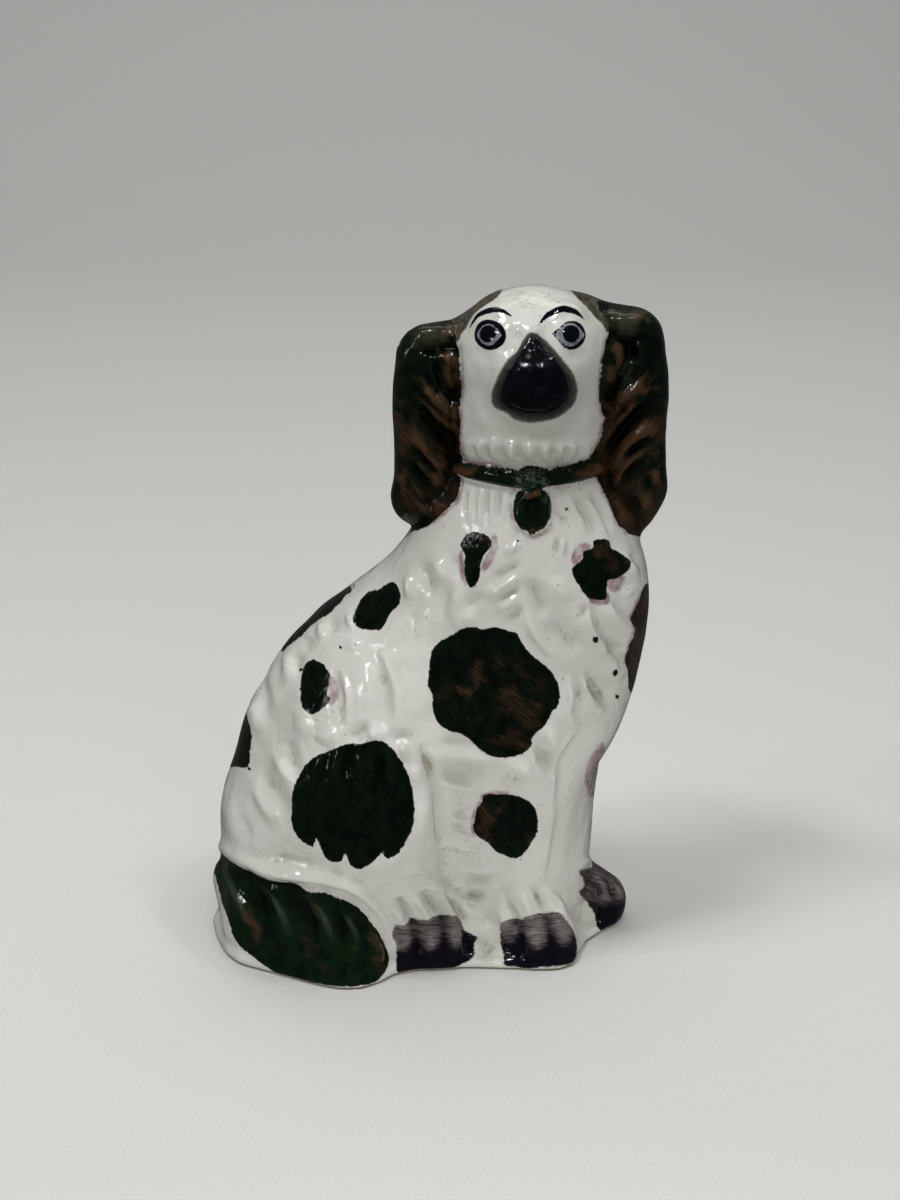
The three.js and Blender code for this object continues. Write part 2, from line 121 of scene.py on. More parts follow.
# height, half width, edge power, end taper, line on the sheet
RELIEF = [
    (1.01, 2.2, 2, 1, [(9.7, 185.9), (10.5, 187.1), (11.6, 188.6), (13, 189.9), (14.7, 190.9), (16.5, 191.7), (18.3, 191.9), (20.1, 191.2), (21.7, 190), (22.8, 189.1)]),
    (1.01, 2.2, 2, 1, [(31.2, 188.8), (32.1, 189.7), (33.5, 190.9), (34.8, 191.9), (36, 192.5), (37.3, 192.9), (38.7, 192.7), (40.7, 191.6), (42.8, 190), (44.4, 188.8)]),
    (-1.35, 2.1, 2, 1, [(21.4, 188.2), (22.1, 187.3), (22.9, 186.1), (23.4, 184.8), (23.5, 183.6), (23.2, 182.5), (22.6, 181.4), (21.6, 180.4), (20.2, 179.4), (19.3, 178.8)]),
    (-1.35, 2.1, 2, 1, [(32.9, 188.8), (32.4, 187.7), (31.7, 186.2), (31.3, 184.8), (31.4, 183.6), (31.8, 182.4), (32.5, 181.4), (33.5, 180.5), (34.7, 179.6), (35.6, 179.1)]),
    (-0.61, 2.2, 2, 0.8, [(10.8, 182), (11.7, 181.1), (12.9, 180), (14.2, 179.1), (15.6, 178.7), (17.1, 178.6), (18.2, 178.5)]),
    (-0.61, 2.2, 2, 0.8, [(36.7, 178.5), (37.9, 178.8), (39.6, 179.2), (41.2, 179.7), (42.5, 180.4), (43.7, 181.3), (44.5, 182)]),
    (1.01, 3.2, 3, 0, [(16.4, 185), (16.6, 185)]),
    (1.01, 3.4, 3, 0, [(38.4, 185), (38.6, 185)]),
    (0.68, 2.6, 2, 1, [(12.6, 170.7), (12.8, 168.4), (13.1, 165), (13.7, 162), (15, 159.7), (16.6, 157.7), (17.8, 156.4)]),
    (0.68, 2.6, 2, 1, [(44.8, 170.7), (44.8, 168.4), (44.8, 165), (44.5, 162), (43.3, 159.7), (41.7, 157.7), (40.6, 156.4)]),
    (0.81, 2.6, 2, 1, [(28.5, 183.1), (28.4, 182), (28.4, 180.5), (28.3, 179.1), (28.2, 177.8), (28.1, 176.5), (28, 175.6)]),
    (0.94, 1.7, 2, 0.8, [(22.4, 173.9), (23.2, 174.3), (24.2, 174.7), (25.5, 175.1), (27.1, 175.2), (28.9, 175.2), (30.6, 175.1), (32.1, 174.7), (33.4, 174.3), (34.3, 173.9)]),
    (-0.94, 1.1, 2, 0.5, [(21, 173.6), (20.6, 172.6), (20, 171), (19.6, 169.6), (19.5, 168.3), (19.4, 167.1), (19.7, 166.1), (20.2, 165.2), (21, 164.4), (22, 163.8), (23, 163.2), (24.3, 162.7), (25.7, 162.3), (27.3, 162), (29.1, 161.9), (30.8, 162), (32.2, 162.2), (33.5, 162.6), (34.8, 163.2), (36, 163.9), (37.2, 164.8), (38.1, 165.8), (38.7, 166.8), (39.1, 167.9), (39.2, 169), (38.9, 170.3), (38.4, 171.8), (38, 172.8)]),
    (0.47, 1.6, 2, 0.5, [(19.3, 174.5), (18.8, 173.3), (18.1, 171.5), (17.7, 169.9), (17.4, 168.4), (17.4, 167.1), (17.7, 165.8), (18.3, 164.6), (19.3, 163.5), (20.6, 162.6), (22.1, 161.7), (23.9, 161), (25.7, 160.5), (27.4, 160.2), (29.1, 160.1), (30.8, 160.2), (32.6, 160.5), (34.3, 161), (35.9, 161.7), (37.4, 162.7), (38.8, 163.9), (39.8, 165.2), (40.5, 166.5), (40.8, 167.9), (40.9, 169.3), (40.4, 171), (39.7, 172.7), (39.1, 173.9)]),
    (1.08, 2.6, 2, 0.6, [(9.8, 154.6), (11.4, 154.1), (13.7, 153.3), (16.6, 152.6), (20.3, 152.1), (24.6, 151.8), (28.7, 151.7), (32.5, 151.8), (36.2, 152.1), (39.5, 152.6), (42.3, 153.4), (44.7, 154.5), (46.3, 155.2)]),
    (-1.62, 1.5, 2, 0.5, [(9.2, 148.7), (11, 148.3), (13.6, 147.6), (16.7, 147.1), (20.4, 146.7), (24.6, 146.4), (28.7, 146.3), (32.6, 146.6), (36.3, 147), (39.6, 147.5), (42.5, 148.1), (44.8, 148.8), (46.5, 149.3)]),
    (1.08, 1.5, 2, 1, [(11.2, 155.5), (11.1, 154.6), (11, 153.3), (10.9, 152), (10.8, 150.6), (10.7, 149.1), (10.7, 148.1)]),
    (1.22, 1.5, 2, 1, [(14.1, 155.5), (14, 154.6), (13.9, 153.3), (13.8, 152), (13.7, 150.6), (13.7, 149.1), (13.7, 148.1)]),
    (1.49, 1.5, 2, 1, [(18.3, 155.5), (18.3, 154.6), (18.2, 153.3), (18.2, 152), (18.1, 150.6), (18.1, 149.1), (18.1, 148.1)]),
    (1.76, 1.5, 2, 1, [(23.2, 155.5), (23.2, 154.6), (23.1, 153.3), (23.1, 152), (23.1, 150.6), (23.1, 149.1), (23.1, 148.1)]),
    (1.82, 1.5, 2, 1, [(28, 155.5), (28.1, 154.6), (28.1, 153.3), (28.1, 152), (28.1, 150.6), (28.1, 149.1), (28.1, 148.1)]),
    (1.69, 1.5, 2, 1, [(32.3, 155.5), (32.4, 154.6), (32.4, 153.3), (32.5, 152), (32.5, 150.6), (32.5, 149.1), (32.6, 148.1)]),
    (1.49, 1.5, 2, 1, [(36.3, 155.5), (36.4, 154.6), (36.5, 153.3), (36.5, 152), (36.6, 150.6), (36.7, 149.1), (36.7, 148.1)]),
    (1.35, 1.5, 2, 1, [(39.7, 155.5), (39.8, 154.6), (39.9, 153.3), (40.1, 152), (40.1, 150.6), (40.2, 149.1), (40.2, 148.1)]),
    (1.15, 1.5, 2, 1, [(43.5, 155.5), (43.6, 154.6), (43.7, 153.3), (43.8, 152), (43.9, 150.6), (44, 149.1), (44.1, 148.1)]),
    (-0.94, 1, 2, 1, [(12.6, 154.1), (12.7, 147.5)]),
    (-0.94, 1, 2, 1, [(16.1, 154.1), (16.1, 147.5)]),
    (-0.94, 1, 2, 1, [(20.8, 154.1), (20.8, 147.5)]),
    (-0.94, 1, 2, 1, [(25.6, 154.1), (25.7, 147.5)]),
    (-0.94, 1, 2, 1, [(30.2, 154.1), (30.3, 147.5)]),
    (-0.94, 1, 2, 1, [(34.3, 154.1), (34.5, 147.5)]),
    (-0.94, 1, 2, 1, [(38.1, 154.1), (38.2, 147.5)]),
    (-0.94, 1, 2, 1, [(41.5, 154.1), (41.6, 147.5)]),
    (1.35, 2.15, 6, 0, [(8.4, 145.7), (9.7, 145.5), (11.6, 145.1), (13.5, 144.7), (15.4, 144.3), (17.3, 143.9), (19.3, 143.5), (21.2, 143.2), (23.2, 142.9), (25.3, 142.7), (27.7, 142.7), (30.3, 142.8), (32.8, 143), (35.1, 143.3), (37.4, 143.6), (39.7, 144.1), (42.3, 144.8), (45, 145.7), (46.8, 146.3)]),
    (2.56, 5.4, 8, 0, [(28.9, 134.3), (28.9, 132.5)]),
    (0.81, 1.2, 2, 1, [(29, 127.6), (29, 125.8)]),
    (-0.68, 3.2, 6, 0, [(28.9, 134.6), (28.9, 132.5)]),
    (1.49, 0.9, 2, 1, [(25.6, 144.5), (25.7, 140.3)]),
    (1.49, 0.9, 2, 1, [(31.9, 144.5), (32, 140.3)]),
    (1.35, 1.5, 4, 0, [(27.4, 140), (30.3, 140)]),
    (1.8, 2.38, 2, 0.5, [(-5.7, 185.7), (-4.4, 185.7), (-2.4, 185.7), (-0.4, 185.7), (1.8, 185.7), (4.1, 185.7), (5.8, 185.7)]),
    (-2.55, 1.23, 2, 0.7, [(-2.7, 180.8), (-1.7, 181.1), (-0.3, 181.5), (1.3, 181.7), (3, 181.5), (4.8, 181.1), (6, 180.8)]),
    (-2.1, 1.42, 2, 0, [(-0.7, 181.1), (0.1, 180)]),
    (1.95, 2.56, 2, 1, [(4.4, 181.7), (4.6, 180.3), (4.9, 178.2), (5.2, 175.9), (5.6, 173.3), (6, 170.4), (6.3, 168.4)]),
    (-2.1, 1.14, 2, 1, [(0.7, 180.8), (0.8, 179.2), (1.1, 176.8), (1.5, 174.5), (2.3, 172.4), (3.4, 170.3), (4.4, 168.4), (5.3, 166.5), (6.3, 164.7), (6.9, 163.5)]),
    (-1.2, 0.95, 2, 0.6, [(7.7, 180.2), (7.8, 178.5), (7.9, 176.1), (8, 173.6), (8, 171.2), (8, 168.7), (8, 167)]),
    (1.05, 0.95, 2, 1, [(-0.7, 175.6), (0, 174), (1, 171.8), (2.1, 169.6), (3.4, 167.6), (4.8, 165.7), (5.8, 164.3)]),
    (-1.35, 1.04, 2, 1, [(-2.1, 176.2), (-1.6, 174.7), (-0.9, 172.5), (0.1, 170.4), (1.4, 168.6), (3, 167), (4.1, 165.8)]),
    (2.25, 1.71, 2, 1, [(-4.1, 173), (-3.1, 171.7), (-1.6, 169.9), (-0.2, 168.1), (1.1, 166.8), (2.5, 165.6), (3.8, 164.3), (5.3, 162.7), (6.7, 160.9), (7.8, 159.6)]),
    (-1.35, 0.85, 2, 1, [(-4.4, 170.4), (-3.6, 169.2), (-2.3, 167.5), (-1, 165.8), (0.2, 164.4), (1.6, 163), (2.9, 161.7), (4.5, 160.4), (6.1, 159.3), (7.2, 158.5)]),
    (1.65, 1.19, 2, 1, [(-4.4, 169), (-3.5, 167.8), (-2.2, 166), (-0.8, 164.3), (0.6, 163), (2, 161.8), (3.5, 160.5), (5.1, 159), (6.7, 157.5), (7.8, 156.4)]),
    (-2.25, 1.9, 2, 1, [(-6.1, 167.8), (-5.1, 166.2), (-3.5, 163.9), (-1.9, 161.7), (-0.4, 160), (1.1, 158.4), (2.6, 156.7), (4.5, 154.8), (6.4, 152.8), (7.8, 151.4)]),
    (2.1, 1.8, 2, 1, [(-7.3, 159.4), (-6.2, 157.9), (-4.7, 155.8), (-3.1, 153.8), (-1.6, 152.1), (-0.1, 150.5), (1.5, 149), (3.3, 147.3), (5.1, 145.7), (6.3, 144.5)]),
    (-1.65, 1.04, 2, 1, [(-6.2, 155.2), (-5.1, 153.2), (-3.6, 150.4), (-2, 147.8), (-0.3, 145.8), (1.4, 144), (2.6, 142.7)]),
    (1.65, 1.23, 2, 1, [(-5.4, 152.3), (-4.3, 150.5), (-2.7, 148), (-1.1, 145.7), (0.3, 144.2), (1.6, 142.9), (2.9, 141.8), (4.2, 141), (5.5, 140.4), (6.4, 140)]),
    (-1.5, 1.33, 2, 1, [(-6.8, 151.1), (-6.2, 149.2), (-5.2, 146.5), (-4, 143.9), (-2.4, 141.8), (-0.7, 139.9), (0.6, 138.5)]),
    (0.9, 1.52, 2, 1, [(-9.4, 145.7), (-9, 144.5), (-8.4, 142.7), (-8, 140.9), (-8, 139.3), (-8.2, 137.8), (-8.4, 136.7)]),
    (-0.75, 0.85, 2, 1, [(-10.3, 143.3), (-9.2, 137.9)]),
    (-0.75, 0.85, 2, 1, [(-6.9, 144.5), (-6.9, 139.1)]),
    (1.2, 2.28, 2, 0.6, [(-8.3, 180.2), (-8.6, 176.6), (-9, 171.5), (-9.3, 166.4), (-9.1, 161.4), (-8.8, 156.4), (-8.5, 152.9)]),
    (-0.9, 1.52, 2, 1, [(-6.7, 165.8), (-7.6, 158.2)]),
    (0.9, 1.71, 2, 1, [(-4.6, 134.9), (-3.4, 134.6), (-1.7, 134.3), (0, 134.3), (1.5, 135), (3, 136), (4, 136.7)]),
    (-0.9, 1.04, 2, 1, [(-2.9, 138.5), (-2.3, 137.6), (-1.4, 136.2), (-0.6, 134.9), (0.3, 133.9), (1.1, 133.1), (1.7, 132.5)]),
    (1.8, 2.38, 2, 0.5, [(50, 189.1), (51.3, 189.1), (53.1, 189.1), (55, 189.1), (56.9, 189), (58.7, 188.9), (60, 188.8)]),
    (-2.1, 1.23, 2, 0.7, [(51.2, 184.2), (52.8, 184), (55, 183.6), (56.9, 183.4), (57.9, 183.6), (58.6, 184), (59.1, 184.2)]),
    (-2.85, 1.42, 2, 0.2, [(55.8, 182), (56.5, 178.5)]),
    (1.95, 2.47, 2, 1, [(52.6, 183.7), (52.5, 182.1), (52.3, 179.7), (52, 177.1), (51.3, 173.9), (50.4, 170.3), (49.7, 167.8)]),
    (-2.1, 1.14, 2, 1, [(55.2, 182.2), (55.2, 180.8), (55.1, 178.8), (54.8, 176.8), (54.1, 174.9), (53.1, 173), (52.2, 171), (51.1, 168.8), (50, 166.5), (49.2, 164.9)]),
    (-1.65, 0.95, 2, 0.6, [(49.8, 183.1), (49.5, 181), (49, 178.1), (48.7, 175.1), (48.5, 171.9), (48.4, 168.7), (48.3, 166.4)]),
    (1.05, 0.95, 2, 1, [(57.1, 176.8), (56.3, 175.4), (55.3, 173.3), (54.1, 171.3), (52.8, 169.4), (51.3, 167.4), (50.3, 166.1)]),
    (-1.35, 1.04, 2, 1, [(59, 177.4), (58.3, 175.8), (57.3, 173.6), (56.1, 171.6), (54.7, 169.9), (53.3, 168.3), (52.3, 167.2)]),
    (2.25, 1.61, 2, 1, [(61.4, 172.8), (60.1, 171.9), (58.2, 170.6), (56.5, 169.3), (55.1, 167.9), (53.8, 166.5), (52.6, 164.9), (51.4, 163), (50.2, 161.1), (49.3, 159.6)]),
    (-1.65, 0.85, 2, 1, [(60.4, 169.6), (59.1, 168.4), (57.2, 166.7), (55.5, 164.9), (53.8, 162.9), (52.2, 160.8), (51.1, 159.4)]),
    (1.95, 1.52, 2, 1, [(62.6, 170.4), (61.4, 169.4), (59.6, 167.9), (58, 166.4), (56.7, 165.1), (55.6, 163.9), (54.4, 162.3), (52.9, 160), (51.3, 157.4), (50, 155.2), (49.2, 153.7), (48.7, 152.5), (48.4, 151.7)]),
    (-2.25, 1.9, 2, 1, [(64.4, 167.5), (63.3, 166.5), (61.6, 164.9), (59.8, 163.2), (57.8, 161.4), (55.8, 159.4), (54, 157.3), (52.5, 154.9), (51.3, 152.3), (50.4, 150.5)]),
    (2.1, 1.8, 2, 1, [(65.3, 160.8), (63.9, 159.7), (61.9, 158.2), (60, 156.7), (58.5, 155.6), (57.1, 154.6), (55.8, 153.5), (54.7, 151.9), (53.7, 150.2), (52.8, 148.4), (51.9, 146.4), (51.2, 144.2), (50.7, 142.7)]),
    (-1.8, 0.95, 2, 1, [(63.7, 156.4), (62.2, 155.6), (60.1, 154.3), (58.1, 152.9), (56.4, 150.9), (54.8, 148.8), (53.7, 147.2)]),
    (1.65, 1.19, 2, 1, [(62.9, 153.8), (61.4, 152.5), (59.3, 150.8), (57.4, 149), (56, 147.3), (54.8, 145.6), (53.8, 143.9), (53, 142.3), (52.5, 140.8), (52.2, 139.7)]),
    (-1.5, 1.23, 2, 1, [(61.1, 150.2), (59.8, 149), (57.9, 147.2), (56.3, 145.4), (55.2, 143.7), (54.2, 141.9), (53.6, 140.6)]),
    (0.9, 1.71, 2, 1, [(64, 146.9), (64.5, 140.9)]),
    (-0.75, 0.85, 2, 1, [(62.1, 145.7), (62.8, 139.7)]),
    (-0.6, 0.85, 2, 1, [(65.7, 148.1), (66, 140.9)]),
    (1.2, 2.09, 2, 0.6, [(64.2, 182.2), (64.7, 179.3), (65.3, 175), (65.7, 170.7), (65.7, 166.4), (65.5, 162.1), (65.3, 159.1)]),
    (1.2, 1.61, 2, 1, [(51.3, 140.9), (52, 139.2), (53.1, 136.7), (54.4, 134.3), (55.8, 132), (57.5, 129.8), (58.6, 128.2)]),
    (-0.9, 1.23, 2, 1, [(56.5, 139.7), (57.1, 138.2), (58, 136.1), (59, 134.3), (60, 133.4), (61.2, 132.8), (61.9, 132.5)]),
    (0.75, 1.71, 2, 1, [(60.1, 136.7), (63.6, 135.5)]),
    (1.35, 1.15, 2, 1, [(11.5, 141.2), (11.5, 139.7), (11.4, 137.5), (11.3, 135.2), (11.2, 132.9), (11.1, 130.5), (11, 128.8)]),
    (1.35, 1.15, 2, 1, [(14.1, 141.2), (14.1, 139.7), (14, 137.5), (13.9, 135.2), (13.8, 132.9), (13.7, 130.5), (13.6, 128.8)]),
    (1.35, 1.15, 2, 1, [(17.9, 141.2), (17.8, 139.7), (17.7, 137.5), (17.6, 135.2), (17.5, 132.9), (17.4, 130.5), (17.4, 128.8)]),
    (1.35, 1.15, 2, 1, [(21, 141.2), (21, 139.7), (21, 137.5), (21, 135.2), (20.9, 132.9), (20.9, 130.5), (20.9, 128.8)]),
    (-1.27, 1, 2, 1, [(10.1, 140.3), (10, 138.9), (9.9, 136.9), (9.8, 134.9), (9.7, 133.1), (9.6, 131.3), (9.5, 130.1)]),
    (-1.27, 1, 2, 1, [(12.8, 140.3), (12.8, 138.9), (12.7, 136.9), (12.6, 134.9), (12.5, 133.1), (12.4, 131.3), (12.3, 130.1)]),
    (-1.27, 1, 2, 1, [(16, 140.3), (15.9, 138.9), (15.8, 136.9), (15.8, 134.9), (15.7, 133.1), (15.6, 131.3), (15.5, 130.1)]),
    (-1.27, 1, 2, 1, [(19.6, 140.3), (19.5, 138.9), (19.5, 136.9), (19.4, 134.9), (19.3, 133.1), (19.2, 131.3), (19.1, 130.1)]),
    (1.35, 1.4, 2, 1, [(36.9, 139.7), (38, 138.3), (39.5, 136.2), (41.1, 133.7), (42.8, 130.6), (44.6, 127.1), (45.9, 124.6)]),
    (1.5, 1.3, 2, 1, [(42.4, 140.3), (43.4, 138.5), (44.9, 135.9), (46.3, 133.4), (47.6, 131.2), (48.8, 129), (49.9, 127), (50.9, 125.1), (51.8, 123.3), (52.4, 122.1)]),
    (1.2, 1.2, 2, 1, [(47, 140.9), (47.8, 138.9), (49.1, 136.1), (50.3, 133.4), (51.5, 131), (52.6, 128.6), (53.4, 127)]),
    (-1.35, 1.2, 2, 1, [(40.1, 138.5), (41.2, 136.8), (42.8, 134.4), (44.3, 131.9), (45.8, 129.4), (47.2, 126.9), (48.2, 125.2)]),
    (-1.35, 1.1, 2, 1, [(45.3, 139.7), (46.1, 138), (47.3, 135.5), (48.6, 132.8), (50, 129.8), (51.3, 126.8), (52.3, 124.6)]),
    (-1.05, 1, 2, 1, [(33.8, 136.7), (34.6, 135.5), (35.8, 133.6), (37.1, 131.9), (38.4, 130.3), (39.7, 128.7), (40.6, 127.6)]),
    (0.9, 1, 2, 1, [(35.1, 126.7), (34.9, 120.9)]),
    (1.05, 1.1, 2, 1, [(38.3, 125.5), (37.9, 119.3)]),
    (0.9, 1, 2, 1, [(40.7, 124), (40.2, 119.7)]),
    (-1.05, 0.9, 2, 1, [(36.6, 125.8), (36.4, 119.7)]),
    (-0.9, 0.9, 2, 1, [(39.5, 124.3), (39, 119.3)]),
    (0.9, 2.4, 2, 1, [(55.2, 125.2), (55.9, 123.5), (56.9, 121), (57.7, 118.4), (58.3, 115.7), (58.8, 112.9), (59.1, 111)]),
    (-0.9, 1.6, 2, 1, [(57.3, 113.8), (56.9, 112.4), (56.2, 110.4), (55.7, 108.5), (55.3, 106.8), (54.9, 105.2), (54.6, 104.1)]),
    (-1.43, 1.62, 2, 0.8, [(26.2, 118.4), (25.5, 117.6), (24.4, 116.4), (23.3, 115.3), (22.2, 114.6), (21, 113.9), (19.8, 113.2), (18.7, 112.2), (17.7, 111.1), (16.9, 110.4)]),
    (1.74, 2.07, 2, 0.8, [(25.7, 114.4), (24.8, 113.7), (23.5, 112.7), (22.2, 111.6), (21, 110.6), (19.8, 109.6), (18.7, 108.5), (17.6, 107.2), (16.5, 105.7), (15.8, 104.7)]),
    (-1.04, 1.5, 2, 0.8, [(26.3, 109.7), (25.2, 109.3), (23.7, 108.6), (22.2, 107.9), (21.1, 107), (20, 106), (19.3, 105.4)]),
    (1.3, 2.07, 2, 0.8, [(25.8, 106.6), (24.9, 106.2), (23.6, 105.5), (22.3, 104.7), (21, 103.7), (19.7, 102.5), (18.8, 101.6)]),
    (-1.04, 1.75, 2, 0.8, [(27, 104.1), (26.2, 103.4), (25.1, 102.5), (24.1, 101.6), (23, 100.9), (21.9, 100.2), (21.1, 99.7)]),
    (-1.17, 1.88, 2, 0.8, [(15.2, 107.9), (14.3, 107.2), (12.9, 106.3), (11.7, 105.4), (10.5, 104.6), (9.5, 104), (8.7, 103.5)]),
    (1.16, 2.3, 2, 0.8, [(12.9, 102.2), (11.9, 101.6), (10.6, 100.7), (9.3, 99.7), (8, 98.4), (6.7, 97), (5.8, 95.9)]),
    (1.3, 2.3, 2, 0.8, [(22.7, 123.3), (24.7, 120.9)]),
    (-2.47, 2.38, 2, 0.8, [(30.1, 113.5), (30.1, 112.2), (30.2, 110.3), (30.4, 108.5), (30.8, 107), (31.3, 105.5), (32, 104.1), (32.9, 102.7), (33.9, 101.3), (34.7, 100.3)]),
    (-2.47, 3.5, 2, 0.8, [(33.5, 101.6), (34.8, 100.1), (36.6, 97.9), (38.3, 95.9), (39.6, 94.5), (40.8, 93.3), (42, 92.1), (43.1, 90.9), (44.2, 89.7), (45, 88.9)]),
    (1.89, 1.72, 2, 0.8, [(27.9, 104.1), (28, 102.6), (28.3, 100.5), (28.8, 98.5), (29.6, 96.7), (30.7, 95), (31.9, 93.4), (33.2, 91.8), (34.7, 90.3), (36.1, 88.9), (37.3, 87.7), (38.4, 86.5), (39.1, 85.7)]),
    (1.45, 2.99, 2, 0.8, [(35, 114.1), (35.8, 112.6), (37, 110.4), (38.1, 108.5), (39.2, 107), (40.3, 105.7), (41.1, 104.7)]),
    (1.59, 1.03, 2, 0.64, [(45.8, 106), (45.8, 104.9), (45.7, 103.3), (45.9, 101.6), (46.2, 99.9), (46.6, 98.2), (47.2, 96.6), (47.9, 95.2), (48.8, 93.9), (49.6, 92.8), (50.5, 91.7), (51.3, 90.7), (52.1, 89.6), (52.8, 88.2), (53.5, 86.8), (54, 85.7)]),
    (-1.29, 2.03, 2, 0.64, [(47.8, 105.9), (47.8, 104.8), (47.8, 103.3), (47.9, 101.9), (48.2, 100.4), (48.6, 98.8), (49.1, 97.4), (49.6, 96.4), (50.4, 95.3), (51.2, 94.1), (52, 93.1), (52.9, 92.1), (53.8, 90.8), (54.7, 89.2), (55.4, 87.7), (55.8, 86.7)]),
    (0.72, 2.48, 2, 0.64, [(43.5, 106.1), (43.5, 105), (43.5, 103.2), (43.6, 101.3), (44, 99.4), (44.4, 97.5), (45.1, 95.6), (46, 93.9), (47, 92.5), (47.9, 91.3), (48.8, 90.1), (49.6, 89.1), (50.2, 88.3), (50.8, 87.1), (51.5, 85.7), (51.9, 84.7)]),
    (-1.17, 1.25, 2, 0.8, [(45.2, 104.7), (44.1, 100.3)]),
    (1.59, 1.26, 2, 0.64, [(51.1, 106), (51.6, 105), (52.4, 103.6), (53.2, 102.2), (54.1, 101.1), (55, 100), (56, 99.1), (57.2, 98.3), (58.4, 97.6), (59.3, 97.2)]),
    (-1.29, 2.48, 2, 0.64, [(52.8, 107), (53.4, 106.1), (54.1, 104.7), (54.9, 103.5), (55.6, 102.5), (56.4, 101.6), (57.2, 100.8), (58.1, 100.2), (59.3, 99.6), (60.1, 99.2)]),
    (0.72, 3.04, 2, 0.64, [(49.1, 104.8), (49.7, 103.8), (50.5, 102.3), (51.4, 100.9), (52.4, 99.6), (53.4, 98.3), (54.6, 97.2), (56.1, 96.2), (57.5, 95.5), (58.4, 95)]),
    (-1.56, 2.25, 2, 0.8, [(52.6, 94), (53.2, 93.3), (54.2, 92.3), (55, 91.5), (55.7, 90.9), (56.4, 90.5), (56.8, 90.2)]),
    (-1.3, 1.75, 2, 0.8, [(50.9, 89.6), (55.1, 88.9)]),
    (1.3, 1.03, 2, 0.8, [(54.7, 90.2), (58, 90.2)]),
    (1.89, 1.03, 2, 0.64, [(44.9, 81.9), (45.1, 80.7), (45.4, 79), (45.8, 77.4), (46.4, 76.2), (47, 75.2), (47.7, 74.1), (48.7, 72.9), (49.7, 71.7), (50.5, 70.9)]),
    (-2.03, 2.03, 2, 0.64, [(47.5, 82.4), (47.7, 81.2), (48, 79.6), (48.4, 78.3), (48.7, 77.6), (49.2, 76.8), (49.8, 75.9), (50.7, 74.9), (51.7, 73.7), (52.4, 72.9)]),
    (0.85, 2.48, 2, 0.64, [(42, 81.3), (42.2, 80.1), (42.5, 78.2), (43.1, 76.3), (43.8, 74.7), (44.6, 73.4), (45.4, 72.1), (46.5, 70.8), (47.6, 69.5), (48.4, 68.7)]),
    (-1.3, 3, 2, 0.8, [(47.5, 81.2), (48.1, 80), (49, 78.2), (50.1, 76.7), (51.7, 75.8), (53.5, 75.2), (54.9, 74.8)]),
    (1.45, 2.99, 2, 0.8, [(49.8, 85.7), (50.8, 85.3), (52.1, 84.6), (53.4, 83.8), (54.8, 82.7), (56.2, 81.5), (57.1, 80.6)]),
    (1.89, 1.03, 2, 0.64, [(40.7, 80.6), (40.9, 79), (41.2, 76.8), (41.4, 74.8), (41.3, 73.1), (41, 71.7), (40.9, 70.2), (41.4, 68.7), (42.2, 67.3), (42.8, 66.3)]),
    (-1.86, 2.03, 2, 0.64, [(43.1, 81), (43.3, 79.4), (43.6, 77.1), (43.8, 74.7), (43.6, 72.7), (43.3, 71.3), (43.3, 70.6), (43.6, 69.8), (44.3, 68.6), (44.8, 67.7)]),
    (0.85, 2.48, 2, 0.64, [(38.1, 80.2), (38.3, 78.7), (38.6, 76.6), (38.8, 74.8), (38.7, 73.7), (38.3, 72.1), (38.3, 69.8), (39.1, 67.5), (40, 65.8), (40.6, 64.8)]),
    (1.45, 2.07, 2, 0.8, [(33.8, 65.7), (34.4, 64.4), (35.4, 62.7), (36.3, 61.1), (37.1, 59.7), (37.9, 58.6), (38.4, 57.8)]),
    (1.3, 1.15, 2, 0.64, [(46.1, 67), (44.8, 65.6), (43, 63.6), (41.4, 61.7), (40, 60.1), (38.8, 58.6), (37.9, 57.1), (37.3, 55.7), (37, 54.2), (36.7, 52.4), (36.5, 50), (36.4, 47.2), (36.3, 44.4), (36.2, 41.6), (36.1, 38.9), (36.1, 37)]),
    (-0.82, 2.25, 2, 0.64, [(47.8, 65.1), (46.6, 63.7), (44.8, 61.8), (43.2, 59.9), (41.8, 58.3), (40.7, 56.9), (40, 55.7), (39.6, 54.8), (39.3, 53.7), (39.1, 52.1), (38.9, 49.8), (38.8, 47), (38.7, 44.3), (38.6, 41.5), (38.6, 38.8), (38.5, 36.9)]),
    (0.39, 2.76, 2, 0.64, [(44.2, 69), (42.9, 67.6), (41.1, 65.6), (39.4, 63.7), (38.1, 62.1), (36.7, 60.4), (35.5, 58.6), (34.8, 56.7), (34.3, 54.8), (34.1, 52.8), (33.8, 50.3), (33.7, 47.4), (33.6, 44.6), (33.5, 41.8), (33.4, 39), (33.4, 37.1)]),
    (-0.91, 3.25, 2, 0.8, [(47.8, 68.9), (47.1, 67.4), (46.1, 65.2), (45, 63), (43.7, 60.8), (42.4, 58.6), (41.5, 57.1)]),
    (1.74, 1.03, 2, 0.64, [(29.7, 59.1), (29.9, 57.7), (30.4, 55.8), (30.9, 54.1), (31.7, 52.8), (32.7, 51.7), (33.7, 50.8), (34.8, 49.9), (36, 49.2), (36.8, 48.8)]),
    (-1.72, 2.03, 2, 0.64, [(31.7, 59.5), (32, 58.2), (32.4, 56.5), (32.8, 55.1), (33.4, 54.3), (34.2, 53.4), (35, 52.6), (35.9, 51.9), (37, 51.3), (37.8, 50.8)]),
    (0.78, 2.48, 2, 0.64, [(27.4, 58.6), (27.7, 57.2), (28.1, 55.1), (28.9, 53), (30, 51.2), (31.1, 49.9), (32.3, 48.8), (33.6, 47.8), (34.9, 47), (35.7, 46.5)]),
    (-1.43, 2, 2, 0.8, [(33.3, 57.1), (35.2, 54.1)]),
